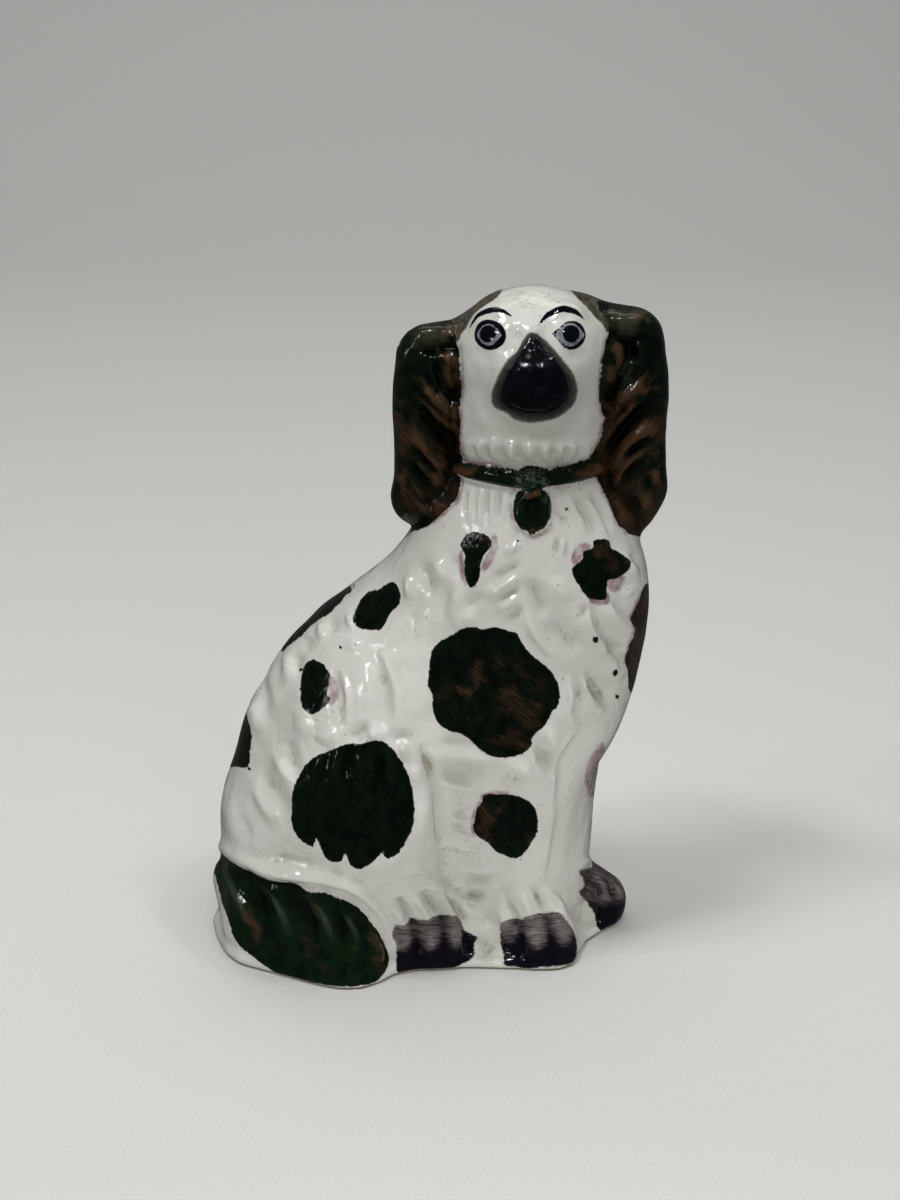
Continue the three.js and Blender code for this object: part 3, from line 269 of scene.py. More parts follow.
    (-1.17, 2.5, 2, 0.8, [(2.2, 59.7), (3.8, 59.9), (6, 60), (8.2, 60.1), (10.3, 59.8), (12.3, 59.4), (13.7, 59.1)]),
    (1.59, 2.3, 2, 0.8, [(2.2, 55.4), (3.9, 55.6), (6.4, 55.8), (8.8, 55.8), (11.1, 55.4), (13.4, 54.9), (15.5, 54.4), (17.4, 54.1), (19.2, 53.9), (20.3, 53.8)]),
    (-1.56, 2.5, 2, 0.8, [(1.6, 49.8), (3.2, 49.8), (5.4, 49.8), (7.6, 49.8), (9.7, 49.9), (11.7, 50), (13.1, 50.1)]),
    (1.3, 1.38, 2, 0.8, [(2.2, 46.4), (3.8, 46.2), (6, 45.9), (8.2, 45.8), (10.3, 45.9), (12.3, 46.2), (13.7, 46.4)]),
    (1.45, 2.07, 2, 0.8, [(20.3, 54.4), (21.8, 53.8), (23.8, 52.8), (25.8, 51.8), (27.9, 50.6), (29.9, 49.3), (31.3, 48.4)]),
    (-1.17, 2.25, 2, 0.8, [(20.4, 49.8), (21.5, 49), (23, 48), (24.7, 47.1), (26.4, 46.5), (28.3, 46.1), (29.5, 45.8)]),
    (1.45, 1.49, 2, 0.8, [(54.2, 120.9), (55, 119.8), (56.1, 118.2), (57.2, 116.6), (58.1, 114.8), (58.9, 112.9), (59.4, 111.6)]),
    (-0.91, 1.5, 2, 0.8, [(57.1, 120.9), (59.6, 116)]),
    (0.87, 2.76, 2, 0.8, [(55.7, 109.7), (58.1, 106.6)]),
    (0.87, 1.15, 2, 0.64, [(37, 37), (36.7, 35.5), (36.3, 33.3), (35.9, 30.9), (35.6, 28.6), (35.4, 26.2), (35.1, 23.4), (34.5, 19.5), (33.9, 15.3), (33.4, 12.3)]),
    (-0.55, 2.25, 2, 0.64, [(38.8, 36.5), (38.5, 35), (38.1, 32.8), (37.7, 30.5), (37.5, 28.4), (37.2, 25.9), (36.9, 23), (36.4, 19.2), (35.7, 14.9), (35.2, 11.9)]),
    (0.17, 2.76, 2, 0.64, [(35, 37.5), (34.7, 36), (34.3, 33.7), (33.9, 31.3), (33.6, 28.9), (33.4, 26.5), (33.1, 23.7), (32.5, 20), (31.9, 15.7), (31.4, 12.7)]),
    (1.89, 2.53, 2, 0, [(2.3, 116.6), (3.4, 114.1)]),
    (-1.56, 1.75, 2, 0.8, [(-3.6, 117.8), (-3.1, 116.5), (-2.5, 114.7), (-1.8, 112.9), (-1.2, 111), (-0.5, 109.2), (-0.1, 107.9)]),
    (1.74, 1.26, 2, 0.8, [(-6.8, 114.7), (-6.7, 113.6), (-6.6, 112), (-6.5, 110.4), (-6.6, 108.6), (-6.8, 106.7), (-6.9, 105.4)]),
    (-1.04, 1.62, 2, 0.8, [(4.9, 110.7), (4.6, 109), (4.1, 106.6), (3.7, 104.4), (3.4, 102.6), (3.1, 100.9), (2.8, 99.7)]),
    (1.01, 2.3, 2, 0.8, [(7.5, 109.7), (7.4, 108.3), (7.1, 106.2), (6.7, 104.1), (6, 102), (5.2, 99.9), (4.6, 98.5)]),
    (1.01, 2.76, 2, 0.8, [(-8.4, 102.2), (-9.2, 100.3), (-10.4, 97.6), (-12, 95.3), (-14, 93.8), (-16.3, 92.8), (-17.9, 92.1)]),
    (-1.3, 2.25, 2, 0.8, [(4, 119.7), (4.9, 118.9), (6, 117.9), (7, 116.6), (7.5, 114.9), (7.9, 113), (8.1, 111.6)]),
    (0.87, 1.84, 2, 0.8, [(-0.7, 104.7), (-1.1, 103.3), (-1.7, 101.2), (-2.5, 99.1), (-3.5, 97), (-4.6, 94.9), (-5.5, 93.4)]),
    (-1.56, 1.5, 2, 0.8, [(-50.8, 81.9), (-50.7, 80.6), (-50.6, 78.8), (-50.4, 76.7), (-50.2, 74.2), (-49.9, 71.5), (-49.7, 69.6)]),
    (1.59, 2.53, 2, 0.8, [(-54.1, 74.8), (-53.7, 73.3), (-53.3, 71.2), (-52.8, 68.9), (-52.2, 66.4), (-51.6, 63.6), (-51.2, 61.7)]),
    (1.45, 1.84, 2, 0.8, [(-43.2, 90.2), (-43, 88.8), (-42.8, 86.7), (-42.7, 84.5), (-42.8, 81.9), (-43.1, 79.3), (-43.2, 77.4)]),
    (-1.17, 1.62, 2, 0.8, [(-40.2, 89.6), (-40.1, 82.2)]),
    (1.01, 2.53, 2, 0.8, [(-46.6, 85.7), (-46.7, 83.6), (-46.8, 80.5), (-46.8, 77.4), (-46.6, 74.3), (-46.4, 71.1), (-46.2, 68.9)]),
    (1.59, 1.03, 2, 0.64, [(-26.7, 82.5), (-26.3, 80.8), (-25.7, 78.4), (-25.3, 75.8), (-25.3, 72.8), (-25.6, 69.8), (-25.8, 67.6)]),
    (-1.72, 2.03, 2, 0.64, [(-29.3, 81.7), (-28.9, 80.1), (-28.3, 77.7), (-28, 75.5), (-28, 72.9), (-28.3, 70), (-28.5, 67.8)]),
    (0.72, 2.48, 2, 0.64, [(-23.8, 83.4), (-23.4, 81.7), (-22.8, 79.1), (-22.4, 76), (-22.4, 72.8), (-22.6, 69.6), (-22.8, 67.4)]),
    (1.59, 1.26, 2, 0.64, [(-15, 88.6), (-14.3, 87), (-13.3, 84.7), (-12.4, 82.2), (-11.7, 79.6), (-11.2, 76.7), (-11, 74.1), (-11, 72), (-11.2, 70.1), (-11.6, 68.3), (-12.2, 66.3), (-13, 64.4), (-13.5, 63)]),
    (-1.72, 2.48, 2, 0.64, [(-17.4, 87.3), (-16.7, 85.8), (-15.7, 83.6), (-14.9, 81.3), (-14.4, 78.9), (-13.9, 76.3), (-13.7, 73.9), (-13.7, 72.2), (-13.9, 70.6), (-14.2, 69), (-14.8, 67.3), (-15.5, 65.5), (-16, 64.2)]),
    (0.72, 3.04, 2, 0.64, [(-12.3, 90), (-11.6, 88.4), (-10.6, 86), (-9.6, 83.2), (-8.9, 80.3), (-8.3, 77.2), (-8, 74.4), (-8, 71.8), (-8.3, 69.5), (-8.8, 67.4), (-9.4, 65.2), (-10.2, 63.1), (-10.7, 61.8)]),
    (1.45, 3.68, 2, 0.8, [(-20.4, 85.7), (-19.8, 83.6), (-19.1, 80.4), (-18.7, 77.4), (-19, 74.4), (-19.6, 71.6), (-20, 69.6)]),
    (0.51, 2.76, 2, 0.8, [(-4.3, 88.3), (-5.4, 88), (-6.9, 87.6), (-8.5, 87.3), (-9.9, 87.3), (-11.3, 87.4), (-12.6, 87.3), (-14, 87.1), (-15.3, 86.7), (-16.2, 86.4)]),
    (1.01, 2.3, 2, 0.8, [(-2, 79.3), (-2.2, 77.5), (-2.5, 74.9), (-2.9, 72.5), (-3.4, 70.4), (-4, 68.4), (-4.4, 67)]),
    (1.3, 1.38, 2, 0.8, [(-32.6, 99.7), (-32.7, 92.8)]),
    (-1.04, 2.25, 2, 0.8, [(-29.3, 102.2), (-30, 94.7)]),
    (1.3, 1.15, 2, 0.8, [(-24.6, 102.2), (-23.8, 96.6)]),
    (-0.91, 2, 2, 0.8, [(-36.8, 95.3), (-38.1, 89.6)]),
    (0.87, 2.3, 2, 0.8, [(-22.6, 94.7), (-24.5, 88.9)]),
    (-1.95, 2.5, 2, 0.8, [(-44.5, 63), (-44.3, 61.4), (-43.9, 59.1), (-43.5, 56.4), (-43, 53.2), (-42.4, 49.6), (-41.9, 47.1)]),
    (1.45, 1.72, 2, 0.8, [(-48, 57.1), (-47.5, 55.7), (-46.6, 53.8), (-45.7, 51.8), (-44.7, 49.8), (-43.6, 47.8), (-42.9, 46.4)]),
    (-2.21, 3, 2, 0.8, [(-51.5, 52.4), (-50.9, 50.5), (-50.2, 47.8), (-49.3, 45.1), (-48.3, 42.7), (-47.3, 40.4), (-46.4, 38.4), (-45.7, 36.5), (-45.1, 34.8), (-44.7, 33.6)]),
    (1.59, 2.07, 2, 0.8, [(-54.1, 47.8), (-53.5, 45.9), (-52.6, 43.1), (-51.6, 40.4), (-50.3, 37.6), (-48.8, 34.9), (-47.8, 32.9)]),
    (-1.04, 2.25, 2, 0.8, [(-59.9, 37), (-59.5, 35.4), (-58.9, 33.2), (-58.3, 30.9), (-57.7, 28.6), (-57.1, 26.3), (-56.7, 24.7)]),
    (1.16, 2.53, 2, 0.8, [(-40, 74.1), (-39.8, 72.3), (-39.4, 69.6), (-39, 67), (-38.5, 64.5), (-38, 62.1), (-37.7, 60.4)]),
    (1.01, 2.3, 2, 0.8, [(-62.5, 43.1), (-62.2, 40.6), (-61.8, 37), (-61.3, 33.6), (-60.6, 30.5), (-59.9, 27.5), (-59.4, 25.4)]),
    (2.03, 2.99, 2, 0.8, [(-34.1, 59.1), (-33.5, 59.8), (-32.6, 60.8), (-31.6, 61.7), (-30.1, 62.4), (-28.5, 63), (-27.3, 63.4)]),
    (2.03, 2.53, 2, 0.8, [(-19.8, 61.7), (-19.1, 62.1), (-18.1, 62.7), (-17.1, 63), (-16, 62.8), (-14.9, 62.4), (-14.1, 62)]),
    (-1.95, 1.88, 2, 0.8, [(-25.6, 59.7), (-24.8, 60.8), (-23.7, 62.3), (-22.5, 63.7), (-21, 64.8), (-19.4, 65.7), (-18.3, 66.3)]),
    (1.74, 2.53, 2, 0.8, [(-10.2, 57.1), (-7.5, 58.1)]),
    (-1.56, 2.12, 2, 0.8, [(-13.5, 60.4), (-12.6, 60.9), (-11.2, 61.6), (-9.9, 62), (-8.5, 62.1), (-7.2, 61.9), (-6.3, 61.7)]),
    (1.3, 1.49, 2, 0.8, [(-27.4, 59.7), (-28, 58), (-28.7, 55.6), (-29.3, 53.1), (-29.7, 50.6), (-29.9, 48.2), (-30.1, 46.4)]),
    (-1.04, 1.38, 2, 0.8, [(-25, 58.4), (-25.5, 56.6), (-26.1, 54.1), (-26.6, 51.8), (-26.9, 49.7), (-27, 47.8), (-27, 46.4)]),
    (1.3, 1.49, 2, 0.8, [(-14.7, 60.4), (-14.2, 58.8), (-13.5, 56.4), (-13, 53.8), (-12.9, 50.7), (-13, 47.4), (-13.1, 45.1)]),
    (-1.04, 1.38, 2, 0.8, [(-17.8, 58.4), (-17.4, 56.9), (-16.9, 54.8), (-16.6, 52.4), (-16.7, 49.8), (-17.1, 47.1), (-17.3, 45.1)]),
    (1.16, 1.38, 2, 0.8, [(-10.5, 54.4), (-10.3, 52.3), (-9.9, 49.4), (-9.7, 46.4), (-9.8, 43.7), (-9.9, 40.9), (-10.1, 39)]),
    (0.87, 1.49, 2, 0.8, [(-33.5, 57.1), (-36.1, 49.1)]),
    (0.87, 1.38, 2, 0.8, [(-22, 57.1), (-22.2, 47.8)]),
    (1.45, 1.84, 2, 0.8, [(-3.9, 59.1), (-2.9, 58.5), (-1.5, 57.6), (-0.2, 56.4), (0.7, 54.9), (1.6, 53.1), (2.2, 51.8)]),
    (-2.47, 2, 2, 0.48, [(-2.7, 57.8), (-2.2, 55.9), (-1.6, 53.2), (-0.9, 50.4), (-0.2, 47.9), (0.6, 45.4), (1.2, 43.1), (1.7, 41), (2.1, 39.1), (2.4, 37), (2.8, 34.1), (3.1, 31), (3.4, 28.8)]),
    (1.3, 2.53, 2, 0.8, [(-6, 53.1), (-5.1, 46.4)]),
    (1.3, 2.53, 2, 0.8, [(-3, 43.1), (-3.1, 40.8), (-3.2, 37.6), (-3.4, 34.3), (-3.6, 30.8), (-3.9, 27.3), (-4, 24.7)]),
    (-1.3, 2, 2, 0.4, [(1.5, 39.7), (1.9, 36.5), (2.5, 31.9), (3, 27.5), (3.4, 23.5), (3.6, 19.7), (4, 16.5), (4.6, 13.8), (5.3, 11.7), (5.8, 10.2)]),
    (-1.95, 3, 2, 0.8, [(-55.9, 22), (-53.8, 21.9), (-50.8, 21.9), (-47.8, 21.6), (-45.2, 21.3), (-42.5, 20.9), (-39.9, 20.3), (-36.9, 19.2), (-34, 18), (-31.9, 17.2)]),
    (1.3, 1.84, 2, 0.8, [(-58.4, 19.2), (-57.1, 18.5), (-55.2, 17.4), (-53, 16.5), (-50.3, 15.9), (-47.4, 15.4), (-44.3, 15.1), (-40.9, 14.8), (-37.5, 14.5), (-35.1, 14.4)]),
    (-0.78, 1.88, 2, 0.8, [(-33.4, 17.9), (-27.3, 13.7)]),
    (0.87, 2.53, 2, 0.8, [(-9.6, 26.8), (-10, 25.3), (-10.6, 23.2), (-11.5, 21.3), (-12.7, 19.9), (-14.2, 18.7), (-15.2, 17.9)]),
    (-0.78, 2.25, 2, 0.8, [(-27.6, 14.4), (-25.9, 13.9), (-23.4, 13.3), (-20.8, 13), (-18.3, 13.3), (-15.8, 13.9), (-14, 14.4)]),
    (0.87, 1.84, 2, 0.8, [(-7.1, 19.9), (-6.4, 19), (-5.3, 17.6), (-4.1, 16.5), (-2.8, 15.6), (-1.4, 14.9), (-0.4, 14.4)]),
    (1.3, 1.03, 2, 0.8, [(4, 39.4), (5.1, 39.2), (6.6, 39), (8.3, 39), (10, 39.4), (11.8, 40), (13.1, 40.4)]),
    (1.16, 1.03, 2, 0.8, [(4, 35), (5.1, 34.8), (6.7, 34.5), (8.3, 34.3), (9.9, 34.2), (11.4, 34.3), (12.6, 34.3)]),
    (1.3, 1.03, 2, 0.8, [(4, 31.2), (5, 30.8), (6.6, 30.2), (8.3, 29.5), (10.2, 28.8), (12.3, 28), (13.8, 27.5)]),
    (-0.39, 2.25, 2, 0.8, [(4.6, 37), (11.9, 37.3)]),
    (-0.39, 2.25, 2, 0.8, [(4.6, 32.3), (11.3, 31.6)]),
    (1.01, 1.26, 2, 0.8, [(5.2, 25.4), (6.6, 25.3), (8.7, 25), (10.7, 24.7), (12.8, 24.3), (14.9, 23.7), (16.3, 23.4)]),
    (-0.65, 1.75, 2, 0.8, [(5.8, 22), (12.6, 21.3)]),
    (1.3, 1.84, 2, 0.8, [(7.7, 18.5), (9.3, 18.1), (11.5, 17.5), (13.9, 17.2), (16.3, 17.5), (18.9, 18.1), (20.6, 18.5)]),
    (1.16, 1.72, 2, 0.8, [(8.3, 12.3), (9.9, 11.9), (12.2, 11.5), (14.5, 11.3), (16.8, 11.6), (19.1, 12.2), (20.7, 12.7)]),
    (-0.91, 1.75, 2, 0.8, [(8.9, 14.7), (18.2, 14.4)]),
    (-1.56, 2, 2, 0.8, [(9.5, 9.2), (17, 9.2)]),
    (1.74, 1.15, 2, 0.8, [(7.7, 7.4), (8.6, 7.1), (10, 6.7), (11.4, 6.4), (13, 6.1), (14.6, 5.8), (15.8, 5.7)]),
    (1.5, 3, 2, 0.6, [(-63.1, 18.5), (-62.6, 16.6), (-62, 13.9), (-61.2, 10.9), (-60.3, 7.8), (-59.3, 4.4), (-58.1, 1.1), (-56.6, -2.3), (-54.9, -5.7), (-53.7, -8.1)]),
    (1.5, 3, 2, 0.6, [(-51.2, 12.3), (-50.3, 10.3), (-49, 7.5), (-47.7, 4.6), (-46.7, 1.9), (-45.7, -1), (-44.8, -3.8), (-44, -7), (-43.1, -10.2), (-42.6, -12.4)]),
    (1.5, 3, 2, 0.6, [(-38.6, 8.8), (-37.5, 7), (-35.8, 4.5), (-34.4, 1.8), (-33.4, -0.7), (-32.5, -3.3), (-31.8, -6), (-31.1, -9.1), (-30.7, -12.3), (-30.4, -14.5)]),
    (1.5, 3, 2, 0.6, [(-31.2, 6), (-29.9, 4.4), (-28.2, 2.1), (-26.6, -0.3), (-25.6, -2.6), (-24.9, -4.9), (-24.3, -7.4), (-23.8, -10.2), (-23.6, -13.2), (-23.4, -15.2)]),
    (1.5, 3, 2, 0.6, [(-24.1, 2.2), (-23.1, 0.6), (-21.7, -1.6), (-20.4, -3.8), (-19.6, -5.9), (-18.8, -8.1), (-18.3, -10.2), (-18.1, -12.6), (-18.1, -15), (-18.1, -16.7)]),
    (0.9, 0.9, 2, 0.7, [(-63.1, 19.2), (-62.6, 17.3), (-61.9, 14.5), (-61.2, 11.6), (-60.2, 8.6), (-59.1, 5.4), (-58.4, 3.2)]),
    (0.9, 0.9, 2, 0.7, [(-51.2, 13), (-50.3, 11.2), (-48.9, 8.6), (-47.7, 6), (-46.7, 3.4), (-45.7, 0.8), (-45.1, -1)]),
    (0.9, 0.9, 2, 0.7, [(-38, 9.2), (-36.9, 7.5), (-35.4, 5.2), (-34.1, 2.9), (-33.1, 0.4), (-32.3, -2.1), (-31.7, -3.8)]),
    (0.9, 0.9, 2, 0.7, [(-30.6, 6), (-29.4, 4.6), (-27.7, 2.5), (-26.3, 0.4), (-25.4, -1.7), (-24.7, -3.8), (-24.2, -5.3)]),
    (-1.2, 1.9, 2, 0.6, [(-56.7, 16.5), (-56.2, 14.4), (-55.5, 11.3), (-54.8, 8.1), (-54.1, 4.9), (-53.4, 1.6), (-52.6, -1.7), (-51.5, -5.2), (-50.3, -8.6), (-49.4, -11)]),
    (-1.2, 1.9, 2, 0.6, [(-44.4, 11.6), (-43.4, 10.1), (-41.9, 7.8), (-40.5, 5.3), (-39.6, 2.7), (-38.7, -0.1), (-37.9, -3.1), (-37.3, -6.9), (-36.7, -11), (-36.3, -13.8)]),
    (-1.2, 1.9, 2, 0.6, [(-34.6, 7.8), (-33.2, 6.2), (-31.3, 3.9), (-29.7, 1.5), (-28.8, -1.1), (-28.2, -3.8), (-27.7, -6.7), (-27.2, -10), (-26.8, -13.5), (-26.6, -16)]),
    (-1.2, 1.9, 2, 0.6, [(-27.2, 4.6), (-26, 3.1), (-24.3, 1), (-22.9, -1.4), (-22.1, -3.7), (-21.5, -6.2), (-21.1, -8.8), (-20.9, -11.7), (-20.7, -14.6), (-20.6, -16.7)]),
    (1.9, 1.7, 2, 0.4, [(-66.8, 26.8), (-64.9, 25.2), (-62.2, 22.9), (-59.6, 21), (-57.4, 19.8), (-55.3, 19), (-52.9, 18.2), (-50, 17.4), (-46.9, 16.7), (-44, 16.1), (-41.7, 15.7), (-39.6, 15.3), (-37.2, 14.7), (-34, 14), (-30.5, 13), (-27.4, 12), (-24.9, 10.8), (-22.9, 9.5), (-20.9, 7.8), (-18.9, 5.5), (-17, 2.9), (-15.4, 0), (-14, -3.4), (-12.8, -7), (-12.1, -9.5)]),
    (-1.1, 1.2, 2, 0.5, [(-65.2, 20.6), (-63.6, 19.4), (-61.4, 17.6), (-59.1, 16.1), (-57.2, 15.2), (-55.2, 14.4), (-53, 13.7), (-50.4, 12.8), (-47.5, 12), (-44.7, 11.3), (-42.5, 10.9), (-40.6, 10.7), (-38.3, 10.2), (-35.2, 9.3), (-31.9, 8.2), (-29, 7.1), (-26.9, 6), (-25.1, 5), (-23.5, 3.6), (-21.7, 1.6), (-20, -0.8), (-18.6, -3.1), (-17.4, -5.7), (-16.5, -8.4), (-15.8, -10.2)]),
    (1, 1.5, 2, 0.5, [(-17.8, 6), (-15.7, 7), (-12.6, 8.3), (-9.4, 9.5), (-6, 10.6), (-2.5, 11.5), (0.5, 11.6), (2.8, 10.8), (4.6, 9.3), (6.4, 7.1), (8.9, 3.5), (11.5, -0.8), (13.3, -3.8)]),
    (-1, 1.8, 2, 0.5, [(-19, 8.1), (-16.7, 9.3), (-13.2, 10.9), (-9.7, 12.3), (-6.1, 13.5), (-2.5, 14.5), (0.9, 14.7), (3.8, 13.7), (6.5, 11.9), (8.3, 10.6)]),
    (-2.3, 1.1, 2, 0.5, [(-10.3, 6.7), (-9.8, 5.9), (-9, 4.8), (-8.2, 3.6), (-7.5, 2.2), (-6.8, 0.7), (-6.4, -0.3)]),
    (-2.3, 1.1, 2, 0.5, [(-2.6, 9.5), (-1.8, 8.5), (-0.8, 6.9), (0.2, 5.3), (1.3, 3.6), (2.3, 1.7), (3, 0.4)]),
    (-2.3, 1.1, 2, 0.5, [(4, 8.8), (4.7, 7.8), (5.7, 6.4), (6.8, 5), (7.7, 3.3), (8.6, 1.6), (9.3, 0.4)]),
    (1.9, 1.3, 2, 0.5, [(-13.5, 5), (-12.8, 4.2), (-11.8, 3), (-11, 1.8), (-10.5, 0.5), (-10.1, -0.8), (-9.8, -1.7)]),
    (1.9, 1.3, 2, 0.5, [(-6.6, 8.8), (-6, 7.7), (-5, 6.2), (-4.1, 4.6), (-3.3, 3), (-2.5, 1.2), (-2, 0)]),
    (1.9, 1.3, 2, 0.5, [(0.9, 10.6), (1.7, 9.4), (2.9, 7.7), (4, 6), (4.9, 4.2), (5.8, 2.4), (6.4, 1.1)]),
    (-1.1, 1.2, 2, 0.5, [(-6, -0.3), (-5.9, -2.6), (-5.7, -5.9), (-5.5, -9.2), (-5.3, -12.3), (-5.3, -15.3), (-5.2, -17.4)]),
    (-1.1, 1.2, 2, 0.5, [(3, 0.4), (3.2, -1.8), (3.4, -4.9), (3.6, -8.1), (3.8, -11.3), (3.9, -14.4), (3.9, -16.7)]),
    (-1.1, 1.2, 2, 0.5, [(9.3, -0.3), (9.5, -2.2), (9.9, -4.8), (10.2, -7.4), (10.5, -9.8), (10.7, -12.2), (10.9, -13.8)]),
    (0.9, 2.4, 2, 0.5, [(-9.5, -1.7), (-9.4, -3.6), (-9.3, -6.2), (-9.2, -8.8), (-9.1, -11.2), (-9, -13.6), (-9, -15.2)]),
    (0.9, 2.4, 2, 0.5, [(-1.4, -0.3), (-1.2, -2.3), (-1, -5.2), (-0.8, -8.1), (-0.6, -11), (-0.5, -13.9), (-0.5, -16)]),
    (0.9, 2.4, 2, 0.5, [(6.4, 0.4), (6.6, -1.6), (6.8, -4.6), (7.1, -7.4), (7.3, -10.1), (7.6, -12.7), (7.7, -14.5)]),
    (-2.3, 1.1, 2, 0.5, [(22.9, 6.7), (23.3, 5.8), (23.9, 4.5), (24.5, 3.2), (25.1, 1.9), (25.7, 0.6), (26.1, -0.3)]),
    (-2.3, 1.1, 2, 0.5, [(31.3, 10.2), (31.7, 9.3), (32.2, 8.1), (32.9, 6.7), (33.8, 5.1), (34.7, 3.4), (35.4, 2.2)]),
    (1.9, 1.3, 2, 0.5, [(20.8, 3.2), (21, 2.5), (21.4, 1.4), (21.7, 0.4), (22.1, -0.6), (22.5, -1.7), (22.7, -2.4)]),
    (1.9, 1.3, 2, 0.5, [(27.3, 8.1), (27.8, 7.2), (28.5, 5.9), (29.2, 4.6), (29.7, 3.2), (30.2, 1.8), (30.5, 0.7)]),
    (1.9, 1.3, 2, 0.5, [(35.6, 10.2), (36.4, 9.1), (37.5, 7.6), (38.5, 6), (39.3, 4.4), (40, 2.7), (40.4, 1.5)]),
    (-1.1, 1.2, 2, 0.5, [(26.4, -0.3), (26.7, -2.5), (27.1, -5.7), (27.5, -8.8), (27.7, -11.8), (27.8, -14.7), (27.9, -16.7)]),
    (-1.1, 1.2, 2, 0.5, [(35.8, 2.2), (36.2, -0.3), (36.7, -3.9), (37.2, -7.4), (37.4, -10.6), (37.5, -13.8), (37.6, -16)]),
    (0.9, 2.4, 2, 0.5, [(22.7, -2.4), (22.9, -4.1), (23.2, -6.4), (23.4, -8.8), (23.6, -11.2), (23.7, -13.6), (23.8, -15.2)]),
    (0.9, 2.4, 2, 0.5, [(31.1, 0.4), (31.4, -1.8), (31.8, -5), (32.2, -8.1), (32.4, -11.1), (32.5, -13.9), (32.6, -16)]),
    (0.9, 2.4, 2, 0.5, [(40.2, 0.4), (40.5, -1.6), (40.9, -4.6), (41.2, -7.4), (41.5, -10.1), (41.6, -12.7), (41.7, -14.5)]),
    (-1.2, 1.1, 2, 1, [(46.3, 16.5), (47.3, 15.5), (48.7, 14), (49.8, 12.3), (50.7, 10.1), (51.4, 7.7), (51.9, 6)]),
    (-1.2, 1.1, 2, 1, [(51.6, 17.9), (52.5, 16.7), (53.7, 15), (54.8, 13), (55.5, 10.4), (55.9, 7.4), (56.2, 5.3)]),
    (1, 1.4, 2, 1, [(43.5, 17.9), (44.8, 18.8), (46.6, 20), (48.4, 20.6), (50.2, 20), (52.1, 18.8), (53.4, 17.9)]),
    (0.8, 1.6, 2, 1, [(48.5, 16.5), (49.7, 14.9), (51.4, 12.6), (52.7, 10.2), (53.3, 7.5), (53.6, 4.6), (53.8, 2.5)]),
    (0.7, 1.4, 2, 1, [(55.3, 15.1), (56.2, 13.3), (57.4, 10.7), (58.3, 8.1), (58.7, 5.7), (58.8, 3.4), (58.8, 1.8)]),
    (-0.9, 1.4, 2, 1, [(14, -5.3), (14.6, -6.7), (15.6, -8.8), (16.5, -11), (17.3, -13.4), (18, -15.9), (18.4, -17.8)]),
    (-0.7, 1.4, 2, 1, [(15.8, 5), (18.3, -3.8)]),
    (0.5, 1.6, 2, 1, [(11.4, 6.7), (13.9, -1)]),
    (-0.5, 1.8, 2, 1, [(20.7, 13.7), (22.6, 6.7)]),
    (0.5, 1.8, 2, 1, [(17.1, -11.7), (20.9, -15.2)]),
]

EARS = [[(-8.8, 182.2), (-7.7, 188.8), (-1.8, 191.6), (6, 188.8), (7.2, 182.2), (7.7, 175.4), (8, 164), (8.3, 152.3), (8.4, 143.3), (7.2, 137.6), (3.8, 133.4), (0.6, 130.4), (-2.3, 128.2), (-8.2, 127), (-12.8, 130.1), (-13.9, 136.7), (-12.5, 152.3), (-13, 160.5), (-12.3, 171.9), (-11.1, 180.8)], [(46.2, 194.2), (49.8, 196.1), (57.3, 195.6), (62.4, 193.9), (65.4, 187.9), (68.1, 176.5), (69.8, 167.5), (69.6, 158.2), (69.4, 149.3), (70, 140.6), (68.9, 133.1), (63.8, 129.5), (61.9, 125.8), (59, 125.8), (55.4, 127.9), (52.4, 131.6), (49.9, 138.2), (46.9, 144.5), (45.9, 149.9), (47.8, 155.2), (49, 161.1), (47.8, 164), (48.5, 171.9), (49.3, 181.1), (49.5, 186.2), (48.3, 189.9)]]
WASHES = [[(19.9, 198.9), (16.9, 197.2), (13, 194.7), (8.6, 191.3), (4.6, 188.8), (5.8, 185.4), (7.4, 183.1), (8.8, 185.7), (11.1, 188.8), (13.9, 191.9), (17.2, 194.7), (19.1, 196.7)], [(36, 200.6), (38.3, 198.1), (41.4, 194.7), (44.9, 191.1), (48.1, 187.4), (49.5, 185.7), (52.2, 189.4), (50.4, 195), (47, 197), (43.6, 199.2), (39.6, 200.9)]]
